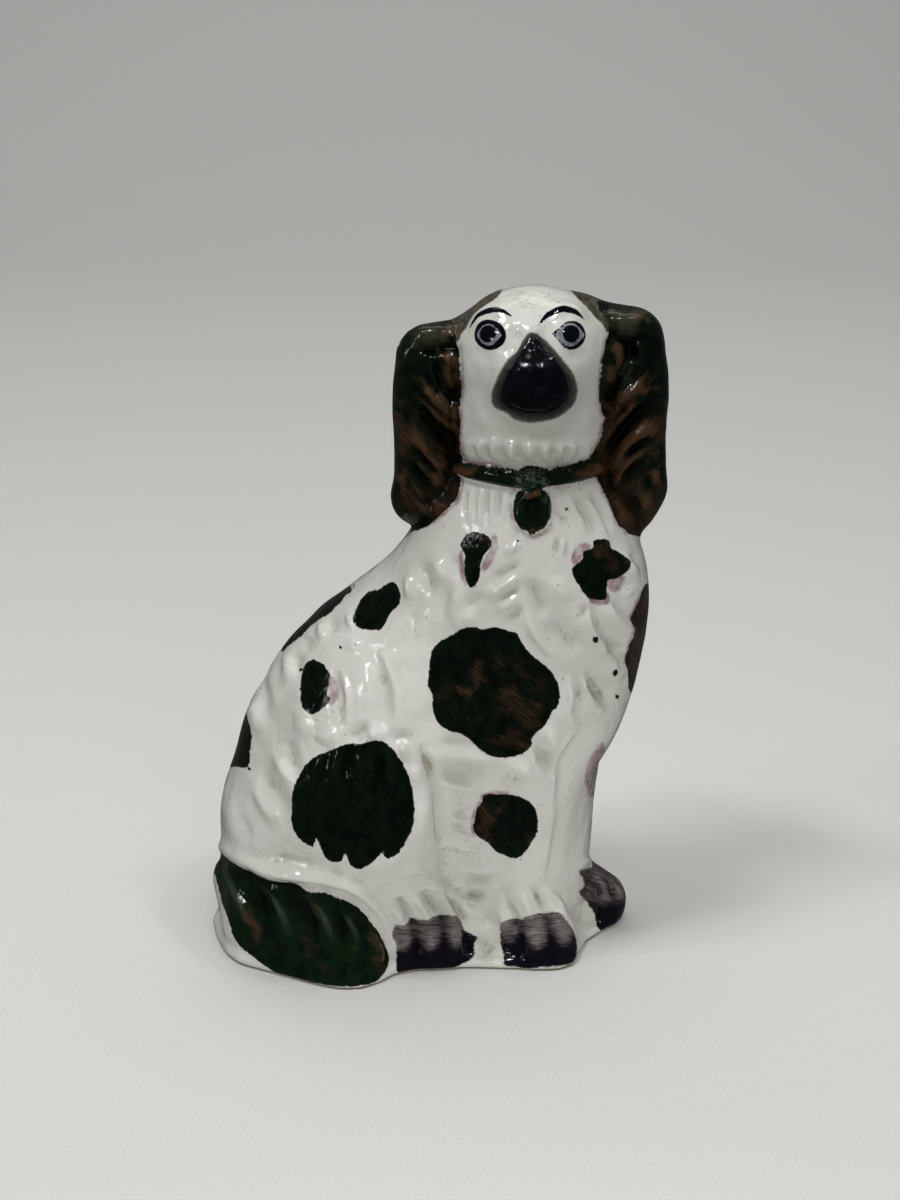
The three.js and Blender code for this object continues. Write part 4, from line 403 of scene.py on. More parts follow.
SPOTS = {
    'a': [(8.4, 123.34), (9.85, 126.1), (12.46, 127.01), (15.37, 126.25), (17.12, 124.72), (17.14, 122.73), (15.4, 120.27), (14.11, 117.19), (13.69, 112.55), (11.65, 109.75), (10.18, 111.3), (9, 115.64), (9.57, 119.66), (8.55, 122.12)],
    'b': [(47.09, 124.26), (49.11, 124.88), (51.75, 123.96), (52.24, 121.81), (54.46, 120.58), (56.31, 117.5), (56.11, 114.41), (54.11, 112.7), (51.78, 112.23), (51.26, 109.75), (51.05, 106.63), (48.12, 106), (45.6, 106.94), (43.03, 110.37), (41.07, 114.1), (41.04, 115.95), (43.72, 118.73), (44.25, 121.2), (46.7, 122.12)],
    'c': [(62.51, 110.99), (60.76, 106.31), (58.89, 100.03), (59.6, 96.25), (58.27, 91.49), (57.23, 86.7), (57.93, 83.17), (58.69, 77.7), (62.1, 74.13), (68.31, 84.46), (69.41, 102.87), (66.78, 110.37)],
    'd': [(-0.44, 88.94), (1.64, 92.44), (6.38, 95.3), (9.04, 97.19), (12.29, 97.51), (14.66, 96.56), (18.2, 97.51), (22.64, 96.25), (25.02, 95.3), (26.84, 91.8), (29.25, 88.94), (32.26, 86.22), (34.83, 83.82), (36.82, 80.92), (37.77, 77.7), (37.56, 72.83), (35.81, 70.56), (34.07, 66.64), (30.08, 61.88), (29.66, 59.24), (26.37, 56.43), (21.54, 55.43), (17.3, 56.1), (13.36, 58.74), (9.72, 62.37), (4.9, 64.01), (2.19, 65.98), (0.1, 70.56), (-0.04, 75.43), (-1.37, 78.67), (-1.05, 83.5)],
    'e': [(15.26, 42.41), (17.7, 43.08), (23.18, 42.88), (27.77, 41.74), (30.86, 38.7), (31.99, 34.98), (31.91, 30.21), (30.57, 27.14), (28.31, 23.37), (25.87, 21.3), (22.47, 21.99), (19.06, 24.05), (16.89, 26.46), (12.88, 29.53), (12.55, 33.28), (13.45, 38.03), (14.97, 40.39)],
    'f': [(-42.95, 43.08), (-40.32, 50.45), (-35.97, 55.1), (-29.55, 58.08), (-25.9, 59.73), (-21.67, 59.73), (-17.28, 61.05), (-14.12, 60.06), (-10.53, 55.93), (-7.55, 49.78), (-6.08, 43.08), (-5.81, 35.99), (-7.08, 29.87), (-10.2, 24.4), (-13.31, 21.65), (-15.15, 21.99), (-15.44, 24.05), (-17.01, 21.65), (-20.44, 18.54), (-23.86, 17.51), (-25.68, 19.23), (-27.16, 23.02), (-28.14, 20.27), (-31.54, 19.92), (-33.65, 21.99), (-35.98, 28.17), (-36.97, 25.08), (-40.31, 27.14), (-42.97, 31.24), (-43.74, 36.67)],
    'g': [(-56.08, 72.18), (-59.03, 70.23), (-61.65, 64.34), (-63.69, 58.41), (-63.31, 52.45), (-59.77, 52.28), (-56.03, 52.58), (-55.03, 58.74), (-54.43, 64.01), (-55.17, 68.92)],
    'h': [(-17.58, 117.19), (-22.25, 117.81), (-28.73, 114.72), (-35.27, 110.37), (-42.48, 104.12), (-51.03, 94.66), (-50.66, 87.66), (-46.47, 88.62), (-39.35, 94.35), (-36.31, 97.51), (-30.46, 101.92), (-25.65, 106.94), (-20.87, 112.23)],
    'i': [(-23.11, 100.98), (-20.06, 107.56), (-15.63, 109.43), (-12.09, 111.61), (-9.62, 109.43), (-9.66, 104.75), (-12.19, 101.92), (-14.9, 96.88), (-17.56, 96.56), (-21.98, 97.35)],
    'j': [(-39.23, 81.57), (-38.55, 84.78), (-35.97, 87.02), (-32.58, 85.74), (-30.86, 82.53), (-31.58, 76.73), (-31.05, 73.48), (-35.63, 69.58), (-38, 70.88), (-39.4, 74.78)],
    'tail': [(-66.51, 25.43), (-65.35, 23.71), (-61.47, 20.27), (-58.47, 17.85), (-54.53, 15.43), (-48.56, 13.17), (-43.48, 11.95), (-39.2, 9.69), (-31.47, 7.77), (-25, 4.62), (-22.23, 2.51), (-17.94, -3.49), (-15.5, -8.81), (-13.99, -14.17), (-14.97, -18.12), (-17.54, -21.72), (-21.67, -23.53), (-29.27, -24.07), (-37.15, -22.81), (-44.68, -21), (-50.3, -18.66), (-57.04, -13.1), (-61.88, -7.75), (-63.82, -1.01), (-65.72, 6.37), (-66.98, 13.69), (-68.58, 19.92)],
    'locket': [(23.7, 135.22), (24.24, 138.24), (26.24, 140.19), (28.82, 140.64), (31.42, 140.19), (33.62, 138.24), (34.39, 135.22), (34.16, 131.58), (32.48, 128.24), (29.89, 126.71), (28.74, 126.1), (27.56, 127.01), (25.22, 128.54), (23.88, 131.58)],
    'shackle': [(25.3, 145.73), (31.91, 145.73), (31.98, 141.54), (30.85, 139.74), (26.82, 139.74), (25.64, 141.54)],
    'collar': [(7.49, 147.82), (13.52, 146.93), (19.27, 146.03), (27.61, 145.14), (36.21, 146.03), (41.92, 147.52), (47.06, 148.71), (47.45, 144.54), (44.33, 142.86), (39.74, 141.99), (32.85, 141.09), (24.21, 140.49), (19.31, 141.39), (13.54, 142.74), (8.65, 144.54)],
}
SPECKS = [(47.83, 94.03, 0.72, 1.16), (53.3, 83.5, 0.72, 1.16), (55.48, 75.11, 0.58, 0.72), (39.04, 134.01, 0.51, 0.65), (25.13, 124.26, 0.58, 0.43), (-27.27, 91.01, 0.58, 0.58), (-39.76, 84.14, 0.58, 0.58), (-55.77, 51.45, 0.58, 0.58), (36.57, 110.68, 0.35, 0.35), (35.82, 103.81, 0.35, 0.35), (35.24, 119.66, 0.29, 0.29), (31.85, 112.55, 0.29, 0.29), (21.98, 103.81, 0.29, 0.29)]
LUSTRE = [
    [(18.9, 125.8), (17.1, 126.4), (16.6, 122.1), (14.3, 117.8), (13.7, 114.7), (16.6, 115.6), (18.6, 119.7), (19.5, 123)],
    [(9.3, 123), (7.8, 120.9), (7, 116.9), (7.8, 112.9), (9.9, 110.1), (10.5, 113.8), (9.3, 117.2)],
    [(40.8, 120.9), (42.5, 123.3), (45.3, 124), (46.8, 122.1), (44.3, 119.7), (42, 116.6), (40.5, 117.5)],
    [(45.1, 107.9), (46.4, 105.1), (49.3, 104.1), (52, 105.4), (51.9, 108.5), (48.7, 107.3)],
    [(51.2, 112.5), (52.5, 108.2), (55.7, 109.1), (57, 112.9), (54.4, 114.1)],
    [(60.7, 109.1), (58.3, 101.3), (58.4, 96.6), (56.9, 88.6), (56.7, 85.4), (58.7, 88.6), (60.8, 95.9), (60.6, 102.2), (62.5, 107.3)],
    [(8.8, 63.4), (12.4, 59.1), (16.4, 56.1), (17.3, 57.1), (13.7, 60.4), (10.6, 63.4)],
    [(14, 41.1), (11.9, 37), (11.3, 32.3), (12.3, 28.8), (14.4, 30.9), (14.4, 37.7), (15.6, 41.4)],
    [(13.7, 42.1), (17.4, 44.1), (22.9, 44.1), (22.9, 42.1), (16.5, 41.4)],
    [(50.8, 60.4), (47.6, 55.8), (45.9, 49.4), (47.3, 42.4), (50, 43.1), (51.3, 51.1), (52.3, 58.4)],
    [(23.2, 130.7), (25.5, 127), (28.8, 124.6), (32.2, 125.8), (34.8, 129.1), (35, 133.1), (33.3, 128.5), (28.7, 126.4), (24.9, 128.8)],
    [(22.5, 136.7), (22, 133.1), (23.5, 129.5), (24.9, 130.7), (23.7, 134.9)],
    [(8.4, 149.3), (10.4, 148.4), (14.4, 148.1), (19.6, 146.9), (19.3, 145.7), (13.2, 146.3), (8.1, 146.9)],
    [(35.1, 146.3), (41, 148.1), (45.9, 149.3), (45.9, 148.1), (41.1, 146.9), (35.7, 145.1)],
    [(11, 143.3), (14.4, 142.1), (19.6, 140.3), (24.2, 139.4), (24.2, 140.6), (19, 141.5), (13.8, 143)],
    [(33.4, 140.9), (38.6, 141.5), (43.8, 142.4), (47.5, 143.9), (47.5, 142.7), (43.2, 141.2), (37.5, 140), (33.7, 139.7)],
    [(6.6, 182.2), (7.5, 180.2), (8.6, 174.5), (8.9, 163.5), (9.2, 152.3), (9.5, 142.7), (8.4, 136.7), (4.6, 132.5), (1.1, 129.5), (-1.2, 129.5), (0, 131), (4, 134), (7.2, 138.8), (7.8, 145.7), (7.5, 157.6), (7.2, 172.2)],
    [(50.6, 186.5), (49.2, 185.1), (48.3, 177.9), (47.6, 170.7), (47, 164), (47.9, 160.5), (46.6, 155.2), (45, 149.9), (46.2, 148.1), (48.1, 154.6), (49.6, 160.5), (48.6, 164.6), (49, 171.9), (49.9, 180.8)],
    [(45.7, 145.7), (47.2, 142.1), (49.7, 136.7), (51.8, 131.3), (54.6, 127.6), (56.9, 125.8), (54.5, 130.1), (50.8, 136.7), (47.8, 143.3)],
    [(-31.4, 83.2), (-29.7, 81.9), (-28.3, 78.7), (-28.9, 74.1), (-31.1, 72.2), (-31.6, 75.4)],
]
NOSE = [(28.49, 184.53), (26, 181.24), (23.79, 177.8), (21.16, 173.63), (19.53, 169.57), (19.27, 166.23), (21.25, 164.04), (25.67, 162.29), (30.23, 162), (34.76, 162.87), (38.12, 165.65), (39.18, 169.11), (37.97, 173.05), (35.07, 177.66), (32.75, 181.1), (30.47, 183.53)]
NOSE_WASH = [(28.19, 185.95), (31.57, 184.81), (35.59, 179.95), (39.64, 174.49), (41.16, 169.57), (40.25, 165.5), (38.17, 163.17), (34.8, 161.12), (29.12, 159.94), (24.56, 160.53), (21.26, 162.58), (17.98, 164.48), (17.11, 167.39), (18.21, 171.89), (20.84, 177.37), (24.03, 181.39), (25.96, 184.53)]
BROW_L = ([(10.64, 186.69), (11.92, 188.36), (13.59, 190.06), (15.26, 190.97), (17.07, 191.53), (18.89, 191.68), (20.57, 191.45), (22.96, 190.04)], [0.14, 0.32, 0.49, 0.67, 0.72, 0.67, 0.52, 0.17])
BROW_R = ([(29.98, 187.82), (31.08, 189.36), (32.45, 190.66), (34.54, 191.45), (36.62, 191.96), (38.16, 191.73), (39.79, 191.17), (41.27, 190.35), (42.8, 189.36)], [0.17, 0.49, 0.72, 0.81, 0.78, 0.7, 0.58, 0.41, 0.17])
EYES = [dict(at=(16.5, 184.98), radii=(4.41, 4.2), corner=None, pupil=(16.22, 185.15), pupil_r=2.35, ring_at=(16.31, 184.95), ring=(3.48, 2.92)), dict(at=(39.2, 184.92), radii=(4, 4.05), corner=(33.8, 185.55), pupil=(38.8, 185.15), pupil_r=2.41, ring_at=(38.72, 185.04), ring=(4, 3.17))]
PAWS = [[(-13.3, -4.6), (-11.4, -1.7), (-6.4, -0.5), (-1, 0.7), (5.5, 1.5), (8.3, 0), (9.9, -3.8), (14, -6.7), (12.7, -8.5), (12.7, -13.1), (9, -16), (3.9, -17.9), (-3.8, -18.5), (-10.9, -19.6), (-11.8, -13.5), (-12, -8.5)], [(21.1, -1.7), (23.6, 0), (27.4, -0.1), (29.8, 1.3), (37.6, 2.5), (40.2, 0.4), (43.4, -3.8), (44.9, -8.5), (44.5, -14.5), (40.5, -16.5), (34.3, -17), (29.2, -17.8), (26, -17), (22.5, -16.3), (21.9, -12), (21.2, -7.2)], [(45.1, 17), (49.1, 17.9), (51.9, 18.5), (56.6, 14.4), (59.9, 9.2), (60.7, 2.5), (59, -2.4), (53.4, -4.2), (51.1, -2.4), (50.1, 2.2), (47.5, 6.4), (45.3, 9.2), (46.8, 11.6), (46.4, 14.4)]]
BROWN = [(4.4, 185.4, 2, 2.7, 0, 0.85), (4.4, 180, 1.7, 2.7, 0, 1.05), (6.9, 177.4, 1.7, 4.6, 0, 0.8), (4.4, 170.7, 2, 6.1, -8, 0.75), (-0.2, 169, 1.4, 6.7, 46, 0.8), (4.1, 164, 1.4, 6.1, 46, 0.9), (1.8, 162, 1.2, 7.3, 48, 0.8), (7.2, 155.8, 2, 7.9, 0, 1), (1.2, 157, 5.2, 7.9, 30, 0.48), (-2.2, 151.1, 1.2, 9.1, 42, 0.9), (3.5, 144.5, 1.4, 4.9, 42, 0.9), (5.5, 141.2, 2.6, 6.7, -10, 0.95), (2.3, 135.8, 4.6, 4.9, 0, 0.8), (-4.1, 134.3, 5.8, 4.3, 0, 0.55), (-4, 143.3, 2.9, 6.7, 0, 0.35), (-8, 148.7, 2.3, 12.2, 0, 0.22), (57.8, 189.6, 3.2, 2.1, 0, 0.8), (52.4, 180.8, 2.3, 5.2, 0, 0.95), (50.5, 170.7, 1.7, 8.5, -10, 0.9), (56.2, 169.9, 1.4, 7.3, -58, 0.95), (51, 162.9, 1.4, 7.3, -22, 0.9), (59, 168.1, 1.4, 4.9, -52, 0.95), (54.1, 162, 1.2, 7.9, -40, 0.8), (59.4, 158.2, 7, 4, 25, 0.9), (54.4, 153.2, 4.6, 4.9, -40, 0.85), (49.1, 148.1, 2.6, 7.3, 0, 1), (55.7, 148.1, 1.4, 7.3, -42, 0.9), (64.2, 143.3, 2.3, 6.1, 0, 0.75), (51.9, 140.3, 2.6, 6.7, 10, 0.85), (58.4, 133.1, 7, 6.1, 0, 0.95), (60.4, 127.6, 4.1, 3, 0, 0.9), (58.1, 143.9, 3.5, 4.3, 0, 0.35), (63.8, 154.6, 2.3, 6.1, 0, 0.8), (65.6, 160.5, 1.7, 6.1, 0, 0.5), (51.7, 145.7, 8.7, 18.3, -20, 0.85), (59.1, 132.2, 9.9, 10.4, 0, 0.95), (5.8, 160.5, 4.6, 21.3, 0, 0.75), (0, 136.7, 9.9, 7.3, 0, 0.82), (-6.3, 150.2, 5.8, 18.3, 0, 0.6), (10.4, 146, 3.5, 1.8, 0, 0.8), (45.4, 145.4, 2.9, 1.8, 0, 0.7), (28.6, 139.4, 2.6, 1, 0, 1), (28.7, 127.9, 1.4, 1, 0, 0.8), (15.1, 124.3, 1.7, 2.1, 0, 0.85), (12.2, 115.3, 1.7, 3, 0, 0.3), (49.8, 120.9, 3.2, 3.3, 0, 0.95), (52.5, 116.6, 2.6, 2.7, 0, 0.75), (48.3, 109.1, 1.7, 1.8, 0, 0.2), (61.7, 95.9, 6.4, 17.1, 0, 1.3), (4.3, 77.4, 3.5, 4.3, 0, 0.55), (8.8, 90.2, 3.5, 3, 0, 0.5), (13.5, 82.5, 2.6, 4.9, 0, 0.95), (10, 77.4, 4.6, 1.8, 0, 0.9), (19.5, 87, 2.9, 7.9, 20, 0.55), (26, 84.5, 2.9, 4.9, 30, 0.6), (23.8, 74.1, 4.6, 5.5, 40, 0.95), (28.6, 69.3, 4.6, 6.1, 30, 0.9), (32.1, 77.4, 2.9, 5.5, 20, 0.6), (23.9, 61.1, 7, 3.7, 0, 0.75), (11.2, 67.6, 4.6, 2.7, -20, 0.4), (16.2, 32.9, 2.6, 7.3, 0, 0.95), (20.5, 38.4, 3.5, 2.4, 0, 0.6), (29.8, 28.2, 2.3, 2.4, 0, 0.85), (23, 27.5, 4.1, 2.4, 0, 0.45), (-34.3, 77.4, 1.4, 4.3, 0, 0.3), (-31.8, 21.3, 4.1, 1.8, 0, 0.5), (-18.9, 19.9, 3.5, 1.5, 0, 0.5), (-26.2, 23.4, 1.4, 3, 0, 0.5), (-55.6, 12.3, 1.4, 6.1, 10, 0.7), (-55.2, -3.8, 1.7, 5.5, 8, 0.85), (-57.2, 1.5, 1.2, 4.9, 0, 0.6), (-41.3, 10.9, 4.3, 1.8, -20, 0.6), (-37.5, 3.9, 1.7, 5.2, 16, 0.72), (-38.4, -10.2, 2, 5.5, 10, 0.85), (-35.1, -16.7, 2.3, 3, 0, 0.7), (-27.7, -5.6, 1.2, 7.9, 20, 0.5), (-22.2, 2.5, 3.5, 2.4, -30, 0.6), (-18.9, -6.7, 2, 7.9, 14, 0.68), (-16.8, -15.2, 2.6, 4.3, 0, 0.75), (-31.4, -2.1, 0.9, 7.9, 24, 0.4), (-62.5, 10.2, 0.9, 6.7, 14, 0.3), (-26.4, -19.9, 5.8, 1.5, 0, 0.4)]
STAINS = [(25, 194.7, 3.2, 1.4, 0, 0.9), (33.6, 195.3, 2.3, 1.4, 0, 0.9), (35.6, 149.6, 2.6, 2.1, 0, 0.9), (6.7, 23.4, 2.6, 1.2, 0, 0.9), (2.4, 18.5, 4.1, 5.5, 0, 0.45), (5.8, 12, 5.8, 4.3, 0, 0.35), (29.2, 195, 7.5, 2.1, 0, 0.25), (-27.8, 70.2, 2.3, 1.2, 0, 0.8), (11.4, 5, 4.6, 3, 0, 0.35), (16.5, -11, 2, 4.9, 0, 0.5), (48.1, 106, 2.3, 1.8, 0, 0.2)]
# patches of painted sheen on the ears
EAR_SHEEN_SPOTS = [(-0.4, 184.8, 4.1, 3.3, 0, 1), (4.4, 186.2, 2.3, 1.8, 0, 0.6), (53.9, 189.1, 4.1, 3.3, 0, 1), (59.2, 190.2, 2.6, 2.4, 0, 0.6), (55.2, 173.9, 2, 4, 0, 0.55), (3.5, 170.4, 1.4, 5.5, -8, 0.5), (50.9, 175.6, 1.4, 6.1, -8, 0.4), (-8.9, 177.9, 1.4, 9.1, 0, 0.15)]
CRYSTALS = [(28.8, 144.5, 2.6, 1.8, 0, 1), (25.9, 141.8, 1.2, 2.1, 0, 0.9), (32, 142.1, 1.2, 1.8, 0, 0.9), (33.5, 137.9, 0.9, 3.7, 0, 0.5), (24.3, 137.3, 0.9, 3.7, 0, 0.4)]
GRAIN = [(-1.1, 160.5, 11.6, 31.9, -52), (57.9, 160.5, 12.2, 36.2, -128), (18.1, 77.4, 20.3, 21.8, -38), (-24.7, 39.4, 19.7, 20.3, -80), (-41.7, -3.8, 27.5, 20.3, -70), (49.1, 115.3, 9.9, 10.4, -70), (22.1, 32.3, 10.4, 10.4, -50), (61.5, 93.4, 6.4, 17.4, -95), (12.5, 118.4, 6.4, 10.4, -110), (-16.6, 104.1, 8.1, 8.1, -120), (-35.1, 78, 5.8, 9.3, -95), (0.5, -9.2, 14.5, 9.9, -3), (33.4, -8.1, 12.8, 9.3, 4), (52.8, 6.7, 8.7, 9.9, -25)]


# ---------------------------------------------------------------- solid form
def turn(rx, ry, rz):
    rx, ry, rz = np.radians([rx, ry, rz])
    cx, sx, cy, sy, cz, sz = np.cos(rx), np.sin(rx), np.cos(ry), np.sin(ry), np.cos(rz), np.sin(rz)
    mx = np.array([[1, 0, 0], [0, cx, -sx], [0, sx, cx]])
    my = np.array([[cy, 0, sy], [0, 1, 0], [-sy, 0, cy]])
    mz = np.array([[cz, -sz, 0], [sz, cz, 0], [0, 0, 1]])
    return (mz @ my @ mx).astype(np.float32)


def ellipsoid(p, at, radii, rot):
    q = p - np.array(at, np.float32)
    if any(rot):
        q = q @ turn(*rot)
    r = np.array(radii, np.float32)
    a = np.sqrt(np.sum((q / r) ** 2, -1))
    b = np.sqrt(np.sum((q / (r * r)) ** 2, -1))
    return np.where(b > 1e-9, a * (a - 1) / np.maximum(b, 1e-9), -min(radii)).astype(np.float32)


def taper(p, a, r1, b, r2):
    a, b = np.array(a, float), np.array(b, float)
    ba = b - a
    l2 = float(ba @ ba)
    rr = r1 - r2
    a2 = l2 - rr * rr
    il2 = 1 / l2
    pa = p - a.astype(np.float32)
    y = pa @ ba.astype(np.float32)
    z = y - l2
    v = pa * np.float32(l2) - y[..., None] * ba.astype(np.float32)
    x2 = np.sum(v * v, -1)
    y2, z2 = y * y * l2, z * z * l2
    k = np.sign(rr) * rr * rr * x2
    d1 = np.sqrt(x2 + z2) * il2 - r2
    d2 = np.sqrt(x2 + y2) * il2 - r1
    d3 = (np.sqrt(x2 * a2 * il2) + y * rr) * il2 - r1
    return np.where(np.sign(z) * a2 * z2 > k, d1, np.where(np.sign(y) * a2 * y2 < k, d2, d3)).astype(np.float32)


def block(p, at, half, edge, rot):
    q = p - np.array(at, np.float32)
    if any(rot):
        q = q @ turn(*rot)
    q = np.abs(q) - (np.array(half, np.float32) - np.float32(edge))
    return np.sqrt(np.sum(np.maximum(q, 0) ** 2, -1)) + np.minimum(np.max(q, -1), 0) - np.float32(edge)


def inside_distance(x, y, pts):
    """Signed distance to a closed outline, negative inside."""
    v = np.array(pts, np.float32)
    d = np.full(x.shape, 1e9, np.float32)
    s = np.ones(x.shape, np.float32)
    j = len(v) - 1
    for i in range(len(v)):
        e = v[j] - v[i]
        wx, wy = x - v[i, 0], y - v[i, 1]
        t = np.clip((wx * e[0] + wy * e[1]) / max(float(e @ e), 1e-9), 0, 1)
        d = np.minimum(d, (wx - e[0] * t) ** 2 + (wy - e[1] * t) ** 2)
        c1, c2, c3 = y >= v[i, 1], y < v[j, 1], (e[0] * wy) > (e[1] * wx)
        s = np.where((c1 & c2 & c3) | ((~c1) & (~c2) & (~c3)), -s, s)
        j = i
    return s * np.sqrt(d)


def outline(p, pts, z0, z1, edge):
    d2 = inside_distance(p[..., 0], p[..., 1], pts) + edge
    dz = np.abs(p[..., 2] - (z0 + z1) / 2) - (z1 - z0) / 2 + edge
    return np.minimum(np.maximum(d2, dz), 0) + np.sqrt(np.maximum(d2, 0) ** 2 + np.maximum(dz, 0) ** 2) - edge


def join(a, b, k):
    h = np.maximum(k - np.abs(a - b), 0) / k
    return np.minimum(a, b) - h * h * k * 0.25


def keep(a, b, k):
    return -join(-a, -b, k)


SHAPES = {"ellipsoid": ellipsoid, "taper": taper, "block": block, "outline": outline}


def form(p):
    p = p.astype(np.float32)
    d = None
    for op, kind, *args, k in FORMS:
        v = SHAPES[kind](p, *args)
        if d is None:
            d = v
        elif op == "add":
            d = join(d, v, k)
        else:
            d = keep(d, -v, k)
    d = keep(d, p[..., 1] - BACK_Y, SOFT_BACK)
    d = keep(d, -p[..., 2], FOOT_ROUND)
    x, y, r, depth = VENT
    bore = np.maximum(np.hypot(p[..., 0] - x, p[..., 1] - y) - r, p[..., 2] - depth)
    return keep(d, -bore, 0.8)


def slope(p, e=0.25):
    g = np.zeros(p.shape, np.float32)
    for i in range(3):
        o = np.zeros(3, np.float32)
        o[i] = e
        g[:, i] = form(p + o) - form(p - o)
    return g / np.float32(2 * e)


# ---------------------------------------------------------------- surface mesh
def dual_surface(step):
    lo = np.array([CAD_BOX[0][i] * MM - 3 for i in range(3)])
    hi = np.array([CAD_BOX[1][i] * MM + 3 for i in range(3)])
    # a layer of cells is centred on the parting plane, and one on the joint with the slab
    lo[1] = PART_Y - (math.ceil((PART_Y - lo[1]) / step) + 0.5) * step
    lo[2] = SLAB_Z - (math.ceil((SLAB_Z - lo[2]) / step) + 0.5) * step
    f = 4
    n = [int(math.ceil((hi[i] - lo[i]) / (step * f))) for i in range(3)]
    ax = [lo[i] + step * f * np.arange(n[i] + 1) for i in range(3)]
    gx, gy, gz = np.meshgrid(*ax, indexing="ij")
    dc = form(np.stack([gx, gy, gz], -1).reshape(-1, 3)).reshape(gx.shape)
    near = np.zeros(n, bool)
    reach = step * f * 0.95 + 1.2
    lowest = np.full(n, 1e9, np.float32)
    for i in (0, 1):
        for j in (0, 1):
            for k in (0, 1):
                c = dc[i:i + n[0], j:j + n[1], k:k + n[2]]
                lowest = np.minimum(lowest, np.abs(c))
    near = lowest < reach
    m = [v * f + 1 for v in n]
    big = near.repeat(f, 0).repeat(f, 1).repeat(f, 2)
    mask = np.zeros(m, bool)
    for i in (0, 1):
        for j in (0, 1):
            for k in (0, 1):
                mask[i:i + m[0] - 1, j:j + m[1] - 1, k:k + m[2] - 1] |= big
    idx = [np.minimum(np.arange(v) // f, n[i]) for i, v in enumerate(m)]
    d = np.where(dc[np.ix_(*idx)] < 0, np.float32(-9), np.float32(9))
    ii = np.argwhere(mask)
    pts = lo + ii * step
    d[mask] = np.concatenate([form(c) for c in np.array_split(pts, max(1, len(pts) // 200000))])
    inside = d < 0
    total = np.zeros([v - 1 for v in m], np.uint8)
    for i in (0, 1):
        for j in (0, 1):
            for k in (0, 1):
                total += inside[i:i + m[0] - 1, j:j + m[1] - 1, k:k + m[2] - 1]
    cells = np.argwhere((total > 0) & (total < 8))
    number = np.full(total.shape, -1, np.int64)
    number[cells[:, 0], cells[:, 1], cells[:, 2]] = np.arange(len(cells))
    corner = np.array([(i, j, k) for i in (0, 1) for j in (0, 1) for k in (0, 1)])
    val = np.stack([d[tuple((cells + c).T)] for c in corner], 1)
    acc = np.zeros((len(cells), 3))
    cnt = np.zeros(len(cells))
    for a in range(8):
        for b in range(a + 1, 8):
            if np.abs(corner[a] - corner[b]).sum() != 1:
                continue
            va, vb = val[:, a], val[:, b]
            cross = (va < 0) != (vb < 0)
            t = np.where(cross, va / np.where(cross, va - vb, 1), 0)
            acc += np.where(cross[:, None], corner[a] + t[:, None] * (corner[b] - corner[a]), 0)
            cnt += cross
    verts = lo + (cells + acc / cnt[:, None]) * step
    quads = []
    for axis in range(3):
        o = [0, 0, 0]
        o[axis] = 1
        a = inside[: m[0] - o[0], : m[1] - o[1], : m[2] - o[2]]
        b = inside[o[0]:, o[1]:, o[2]:]
        edge = np.argwhere(a != b)
        u, w = [(1, 2), (2, 0), (0, 1)][axis]
        ok = (edge[:, u] > 0) & (edge[:, w] > 0) & (edge[:, u] < m[u] - 1) & (edge[:, w] < m[w] - 1)
        edge = edge[ok]
        first = a[tuple(edge.T)]
        du = np.zeros(3, int); du[u] = 1
        dw = np.zeros(3, int); dw[w] = 1
        q = np.stack([number[tuple((edge - s).T)] for s in (du + dw, dw, 0 * du, du)], 1)
        q[~first] = q[~first][:, ::-1]
        quads.append(q)
    quads = np.concatenate(quads)
    layer_y = int(round((PART_Y - lo[1]) / step - 0.5))
    layer_z = int(round((SLAB_Z - lo[2]) / step - 0.5))
    return verts, quads, cells[:, 1] - layer_y, cells[:, 2] - layer_z


def neighbour_mean(values, quads, count):
    """Mean over the edge neighbours of every vertex."""
    a = quads.ravel()
    b = np.roll(quads, -1, 1).ravel()
    n = np.bincount(a, minlength=count) + np.bincount(b, minlength=count)
    v = values.reshape(count, -1)
    out = np.stack([np.bincount(a, v[b, i], count) + np.bincount(b, v[a, i], count) for i in range(v.shape[1])], 1)
    return (out / np.maximum(n, 1)[:, None]).reshape(values.shape)


def settle(verts, at_y, at_z, rounds=2):
    """Moves vertices onto the form; those on the two joint planes stay on them."""
    for _ in range(rounds):
        p = verts.astype(np.float32)
        d, g = form(p), slope(p)
        g[at_y, 1] = 0
        g[at_z, 2] = 0
        verts = verts - np.clip(d / np.maximum((g * g).sum(1), 0.05), -1, 1)[:, None] * g
    return verts


def unit(v):
    return v / np.maximum(np.linalg.norm(v, axis=1, keepdims=True), 1e-9)


def normals_of(verts, quads):
    a, b, c, d = (verts[quads[:, i]] for i in range(4))
    f = np.cross(c - a, d - b)
    out = np.zeros_like(verts)
    for i in range(4):
        for k in range(3):
            out[:, k] += np.bincount(quads[:, i], f[:, k], len(verts))
    return unit(out)


# ---------------------------------------------------------------- relief
def along(u, v, pts):
    pts = np.asarray(pts, float)
    length = np.hypot(*(pts[1:] - pts[:-1]).T)
    total = max(length.sum(), 1e-9)
    best = np.full(u.shape, 1e9)
    at = np.zeros(u.shape)
    acc = 0.0
    for i in range(len(pts) - 1):
        a, e = pts[i], pts[i + 1] - pts[i]
        t = np.clip(((u - a[0]) * e[0] + (v - a[1]) * e[1]) / max(e @ e, 1e-12), 0, 1)
        dd = (u - a[0] - e[0] * t) ** 2 + (v - a[1] - e[1] * t) ** 2
        near = dd < best
        best = np.where(near, dd, best)
        at = np.where(near, (acc + length[i] * t) / total, at)
        acc += length[i]
    return np.sqrt(best), at


